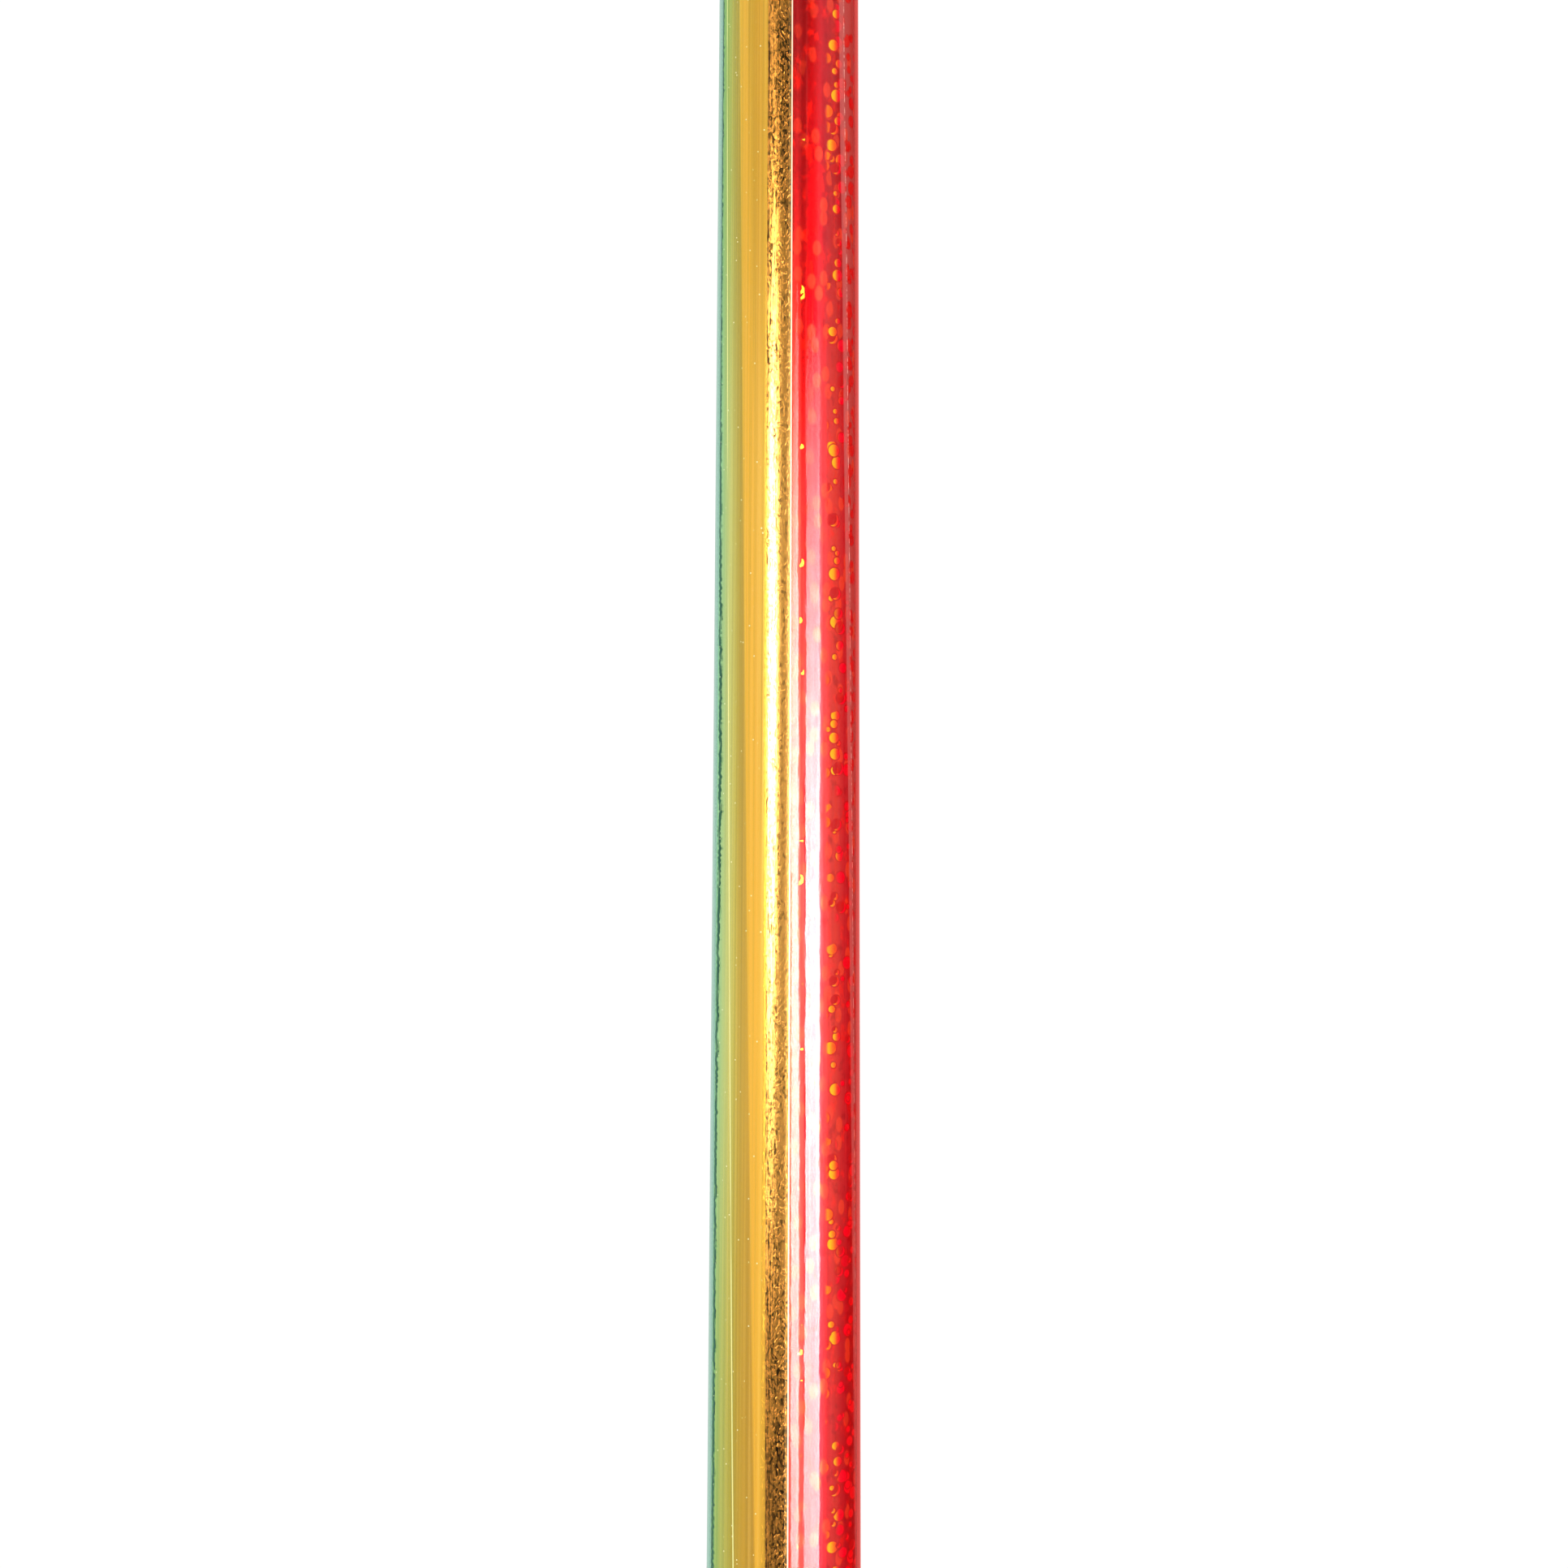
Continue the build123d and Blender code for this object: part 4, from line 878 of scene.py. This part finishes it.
def satin_material():
    """Satin: long floating threads along the ribbon, crossed by fine picks, with stitched hems, and broad
    soft patches of painted shade as if in folds.
    """
    s = Shader("crimson_satin")
    along, across, cloth = s.on_cloth()
    threads = s.noise(cloth, (0.35, 7.0), 3.0, 0.6)
    picks = s.math("SINE", s.times(along, 2 * math.pi / 0.32))
    floats = s.math("SINE", s.times(across, 2 * math.pi / 0.2))
    weave = s.times(s.add(picks, s.times(floats, 0.8)), s.add(threads, 0.3))
    slubs = s.noise(cloth, (0.02, 1.6), 4.0, 0.6)
    painted_fold_shade = s.noise(cloth, (0.03, 0.05), 3.0, 0.5)
    tone = s.mix(s.step(threads, 0.3, 0.75), tint(152, 0, 24), tint(186, 4, 38))
    tone = s.mix(s.step(slubs, 0.5, 0.75, 0.0, 0.35), tone, tint(196, 18, 46))
    # painted shade: broad soft patches darkened as if the satin lay in folds
    tone = s.mix(s.step(painted_fold_shade, 0.45, 0.7, 0.0, 0.35), tone, tint(112, 0, 16))
    from_middle = s.math("ABSOLUTE", across)
    hem = s.step(from_middle, HEM_EDGE - 0.1, HEM_EDGE + 0.1)
    tone = s.mix(s.times(hem, 0.3), tone, tint(116, 2, 20))
    stitch_row = s.band(from_middle, HEM_EDGE + 0.25, HEM_EDGE + 0.55, 0.06)
    stitch = s.times(stitch_row, s.step(s.math("SINE", s.times(along, 2 * math.pi / 2.4)), -0.5, -0.2))
    tone = s.mix(stitch, tone, tint(214, 46, 70))
    shine = s.add(s.step(threads, 0.3, 0.7, 0.22, 0.32), s.times(hem, 0.08))
    normal = s.bump(weave, 0.006 * MM)
    normal = s.bump(s.add(s.times(hem, 0.4), stitch), 0.05 * MM, normal)
    return s.finish(
        Base_Color=tone, Roughness=shine, Normal=normal, Sheen_Weight=0.15, Sheen_Roughness=0.35,
        Sheen_Tint=tint(255, 110, 124), Anisotropic=0.5, Specular_IOR_Level=0.42,
    )


def make_ribbon():
    satin = satin_material()
    lead = ROLL_STATION - POINT_START
    lower_radius = ROLL_RADIUS - 0.5 * SATIN
    upper_radius = lower_radius - SATIN
    doubled_turns = turns_for(DOUBLING_LENGTH - lead, lower_radius, DOUBLED_PITCH)
    doubled_length = 2 * math.pi * doubled_turns * (upper_radius - DOUBLED_PITCH * doubled_turns / 2)
    single_radius = upper_radius - DOUBLED_PITCH * doubled_turns
    single_length = RIBBON_LENGTH - lead - doubled_length
    single_turns = single_length / (math.pi * (single_radius + ROLL_BORE))
    single_pitch = (single_radius - ROLL_BORE) / single_turns
    upper = roll_path(upper_radius, doubled_turns + single_turns, doubled_turns, single_pitch)
    lower = roll_path(lower_radius, doubled_turns, doubled_turns, single_pitch)
    doubling = make_sheet("satin_doubling", 0, lower, satin)
    ribbon = make_sheet("satin_ribbon", 1, upper, satin)
    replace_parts(doubling, "ribbon_doubling")
    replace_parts(ribbon, "ribbon")


# ---- The strap, the tie and the stitches ----


def follow(corners, step, closed=False):
    """Even points along a path of short runs, their unit normals, and how far along each is."""
    corners = np.asarray(corners, dtype=float)
    if closed:
        corners = np.concatenate([corners, corners[:1]])
    reach = np.concatenate([[0], np.cumsum(np.hypot(*np.diff(corners, axis=0).T))])
    count = max(2, round(reach[-1] / step))
    distance = np.linspace(0, reach[-1], count + 1)[: -1 if closed else None]
    points = np.stack([np.interp(distance, reach, corners[:, k]) for k in range(2)], axis=1)
    if closed:
        ahead, behind = np.roll(points, -1, axis=0), np.roll(points, 1, axis=0)
    else:
        before, after = 2 * points[:1] - points[1:2], 2 * points[-1:] - points[-2:-1]
        padded = np.concatenate([before, points, after])
        ahead, behind = padded[2:], padded[:-2]
    run = ahead - behind
    run /= np.hypot(*run.T)[:, None]
    return points, np.stack([run[:, 1], -run[:, 0]], axis=1), distance


def arc(centre, radius, first, last, count):
    """Points round an arc, by angles in degrees."""
    turn = np.radians(np.linspace(first, last, count))
    return [(centre[0] + radius * math.cos(a), centre[1] + radius * math.sin(a)) for a in turn]


UNDER = 0.35  # how high a cord stands where it goes under a pick, as a share of where it goes over


def woven(distance, across, cord, pick, depth):
    """The relief of a plain weave: round cords along the band, each pressed down by every second pick."""
    cord_index, cord_place = np.floor(across / cord), (across / cord) % 1
    pick_index, pick_place = np.floor(distance / pick), (distance / pick) % 1
    over = (cord_index + pick_index) % 2
    height = np.sin(math.pi * cord_place) * (UNDER + (1 - UNDER) * over * np.sin(math.pi * pick_place))
    return depth * (height - 1)


def make_band(name, path, half_band, band_columns, thickness, weave, material, slot, place, closed=False):
    """A woven band along a path. place(points, across) sets it in the model's frame."""
    points, normals, distance = path
    across = np.linspace(-half_band, half_band, band_columns)
    relief = woven(distance[:, None], across[None, :] + half_band, *weave)
    # the band is rounded at its edges, down to half of its thickness
    rim = np.clip((half_band - np.abs(across)) / (0.6 * thickness), 0, 1)
    half = (thickness / 2 + relief) * np.sqrt(0.25 + 0.75 * rim)
    faces = []
    for side in (1, -1):
        shifted = points[:, None, :] + side * normals[:, None, :] * half[:, :, None]
        faces.append(place(shifted, np.broadcast_to(across, half.shape)))
    along = np.broadcast_to(distance[:, None], half.shape)
    wide = np.broadcast_to(across, half.shape)
    return skin(name, *faces, material, "ribbon", slot, closed_rows=closed, along=along, across=wide)


def band_material(name, dark, light, cord, pick):
    """Woven or braided band: each cord is a little different, with fine fibres across it, and painted shade
    in the hollows between cords and picks.
    """
    s = Shader(name)
    _, _, cloth = s.on_cloth()
    fibres = s.noise(cloth, (3.0, 16.0), 4.0, 0.7)
    cords = s.cells(s.stretched(cloth, 1 / pick, 1 / cord), 1.0, 0.3, dimensions="2D")
    fuzz = s.noise(s.place(), 2.2, 5.0, 0.7)
    tone = s.mix(s.step(fibres, 0.3, 0.7), dark, light)
    # painted shade: each crossing of cord and pick is darker towards its edges
    tone = s.mix(s.step(cords.outputs["Distance"], 0.3, 0.62, 0.0, 0.45), tone, dark)
    tone = s.mix(s.step(fuzz, 0.55, 0.72, 0.0, 0.35), tone, light)
    normal = s.bump(fibres, 0.012 * MM)
    normal = s.bump(fuzz, 0.01 * MM, normal)
    return s.finish(
        Base_Color=tone, Roughness=s.step(fibres, 0.3, 0.7, 0.6, 0.82), Normal=normal, Sheen_Weight=0.4,
        Sheen_Roughness=0.45, Specular_IOR_Level=0.3,
    )


STRAP_HALF_WIDTH = 2.6
STRAP = 0.5
STRAP_WEAVE = (0.65, 0.5, 0.09)  # the pitch of its cords, the pitch of its picks, and the depth between them
LOOP_RADIUS = 0.7  # the inside of the strap's loop round the hook's bar
PIVOT = (strap_low.x + LOOP_RADIUS + STRAP, strap_low.z + LOOP_RADIUS + STRAP)
TAIL_GAP = 0.34  # between the strap's tails, where the ribbon's two layers go in
TAIL_START = 6.4  # from the bar to where the upper tail comes down on the ribbon


def make_strap():
    bend = LOOP_RADIUS + STRAP / 2
    upper = PIVOT[1] - LOOP_RADIUS + TAIL_GAP + STRAP / 2
    lower = PIVOT[1] - bend
    start = PIVOT[0] + TAIL_START
    # the upper tail bends up off the ribbon just before the loop
    corners = [(STRAP_END, upper), (start, upper), (start - 0.8, upper + 0.08)]
    corners += arc(PIVOT, bend, 80, 270, 24)
    corners += [(STRAP_END, lower)]
    material = band_material("woven_webbing", tint(96, 2, 16), tint(150, 12, 34), *STRAP_WEAVE[:2])

    def place(shifted, across):
        return np.stack([shifted[..., 0], across, shifted[..., 1]], axis=-1)

    strap = make_band(
        "woven_strap", follow(corners, step=0.125), STRAP_HALF_WIDTH, 33, STRAP, STRAP_WEAVE, material,
        "webbing", place,
    )
    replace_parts(strap, "ribbon_strap")
    return upper + STRAP / 2


TIE = 0.8
TIE_HALF_WIDTH = 3.0
TIE_WEAVE = (0.86, 0.9, 0.16)
TIE_BEND = 1.0


def make_tie():
    tie_low, tie_high = (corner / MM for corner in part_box("roll_tie"))
    side = tie_high.y - TIE / 2 - TIE_BEND
    bottom = tie_low.z + TIE / 2 + TIE_BEND
    top = tie_high.z - TIE / 2 - TIE_DENT - TIE_BEND
    corners = []
    for index, centre in enumerate([(side, top), (-side, top), (-side, bottom), (side, bottom)]):
        corners += arc(centre, TIE_BEND, 90 * index, 90 * (index + 1), 8)
    material = band_material("braided_elastic", tint(8, 8, 10), tint(30, 30, 34), *TIE_WEAVE[:2])

    def place(shifted, across):
        return np.stack([ROLL_STATION + across, shifted[..., 0], shifted[..., 1]], axis=-1)

    tie = make_band(
        "elastic_tie", follow(corners, step=0.3, closed=True), TIE_HALF_WIDTH, 36, TIE, TIE_WEAVE, material,
        "elastic", place, closed=True,
    )
    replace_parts(tie, "roll_tie")


def stitch_run(start, end, pitch):
    """Middles and directions of the stitches along a straight seam."""
    start, end = np.asarray(start, dtype=float), np.asarray(end, dtype=float)
    length = np.hypot(*(end - start))
    count = max(1, round(length / pitch))
    return [(start + (end - start) * (k + 0.5) / count, (end - start) / length) for k in range(count)]


def make_stitches(name, stitches, top, material, slot, length, radius):
    """Short raised threads on a surface whose height is top(x, y)."""
    rings, sides = 7, 6
    place = np.linspace(-1, 1, rings)
    turn = np.linspace(0, 2 * math.pi, sides, endpoint=False)
    points, faces = [], []
    for middle, run in stitches:
        base = len(points)
        for share in place:
            x, y = middle + run * share * length / 2
            # each thread is thinner towards its ends, and sinks into the cloth there
            thick = radius * math.sqrt(max(0.06, 1 - share**4))
            rise = top(x, y) + radius * (1.1 - 1.3 * share**2)
            for a in turn:
                aside = thick * math.cos(a)
                points.append((x - run[1] * aside, y + run[0] * aside, rise + thick * math.sin(a)))
        faces += [[base + k for k in face] for face in grid_faces(rings, sides)]
        faces += [[base + k for k in range(sides)], [base + (rings - 1) * sides + k for k in range(sides)]]
    return new_piece(name, points, faces, material, "ribbon", slot, smooth_angle=60)


def thread_material(name, dark, light):
    """Twisted sewing thread."""
    s = Shader(name)
    place = s.place()
    ply = s.noise(place, (9.0, 14.0, 14.0), 3.0, 0.6)
    fuzz = s.noise(place, 3.0, 3.0)
    tone = s.mix(s.step(ply, 0.35, 0.65), dark, light)
    tone = s.mix(s.step(fuzz, 0.5, 0.7, 0.0, 0.3), tone, dark)
    shine = s.step(ply, 0.3, 0.7, 0.4, 0.6)
    return s.finish(Base_Color=tone, Roughness=shine, Normal=s.bump(ply, 0.02 * MM), Sheen_Weight=0.3)


POINT_PITCH = 2.0
POINT_ENDS = (1.0, 9.0)  # how far the point's seams are from the strap's end and from the roll's middle
POINT_INSET = 1.5
STRAP_PITCH = 1.1
SEAM_ENDS = (7.0, 0.9)  # how far the strap's seam is from the bar and from the strap's end
SEAM_INSET = 0.7


def stitch_the_point():
    """Two rows of stitches that hold the ribbon's layers together, a little inside its edges."""
    thread = thread_material("crimson_thread", tint(190, 30, 56), tint(246, 96, 116))
    seams = []
    for side in (1, -1):
        first_x = STRAP_END + POINT_ENDS[0]
        first = (first_x, side * (float(half_width(first_x)) - POINT_INSET))
        corner = (POINT_START + POINT_LENGTH, side * (RIBBON_HALF_WIDTH - POINT_INSET))
        last = (ROLL_STATION - POINT_ENDS[1], corner[1])
        seams += stitch_run(first, corner, POINT_PITCH) + stitch_run(corner, last, POINT_PITCH)

    def satin_top(x, y):
        return float(lead_height(x, y, 1)) + SATIN / 2

    make_stitches("point_stitching", seams, satin_top, thread, "satin", length=1.5, radius=0.11)


def stitch_the_strap(strap_top):
    """A box of stitches crossed by two diagonals, through the strap's tails."""
    left, right = PIVOT[0] + SEAM_ENDS[0], STRAP_END - SEAM_ENDS[1]
    edge = STRAP_HALF_WIDTH - SEAM_INSET
    box = [(left, -edge), (right, -edge), (right, edge), (left, edge)]
    seams = []
    for start, end in (*zip(box, box[1:] + box[:1]), (box[0], box[2]), (box[1], box[3])):
        seams += stitch_run(start, end, STRAP_PITCH)
    gold = thread_material("gold_thread", tint(186, 140, 60), tint(250, 214, 130))
    height = strap_top - STRAP_WEAVE[2] * 0.6  # pulled tight, the threads lie down in the weave
    make_stitches("strap_stitching", seams, lambda x, y: height, gold, "webbing", length=0.85, radius=0.1)


strap_top = make_strap()
make_tie()
make_ribbon()
stitch_the_point()
stitch_the_strap(strap_top)
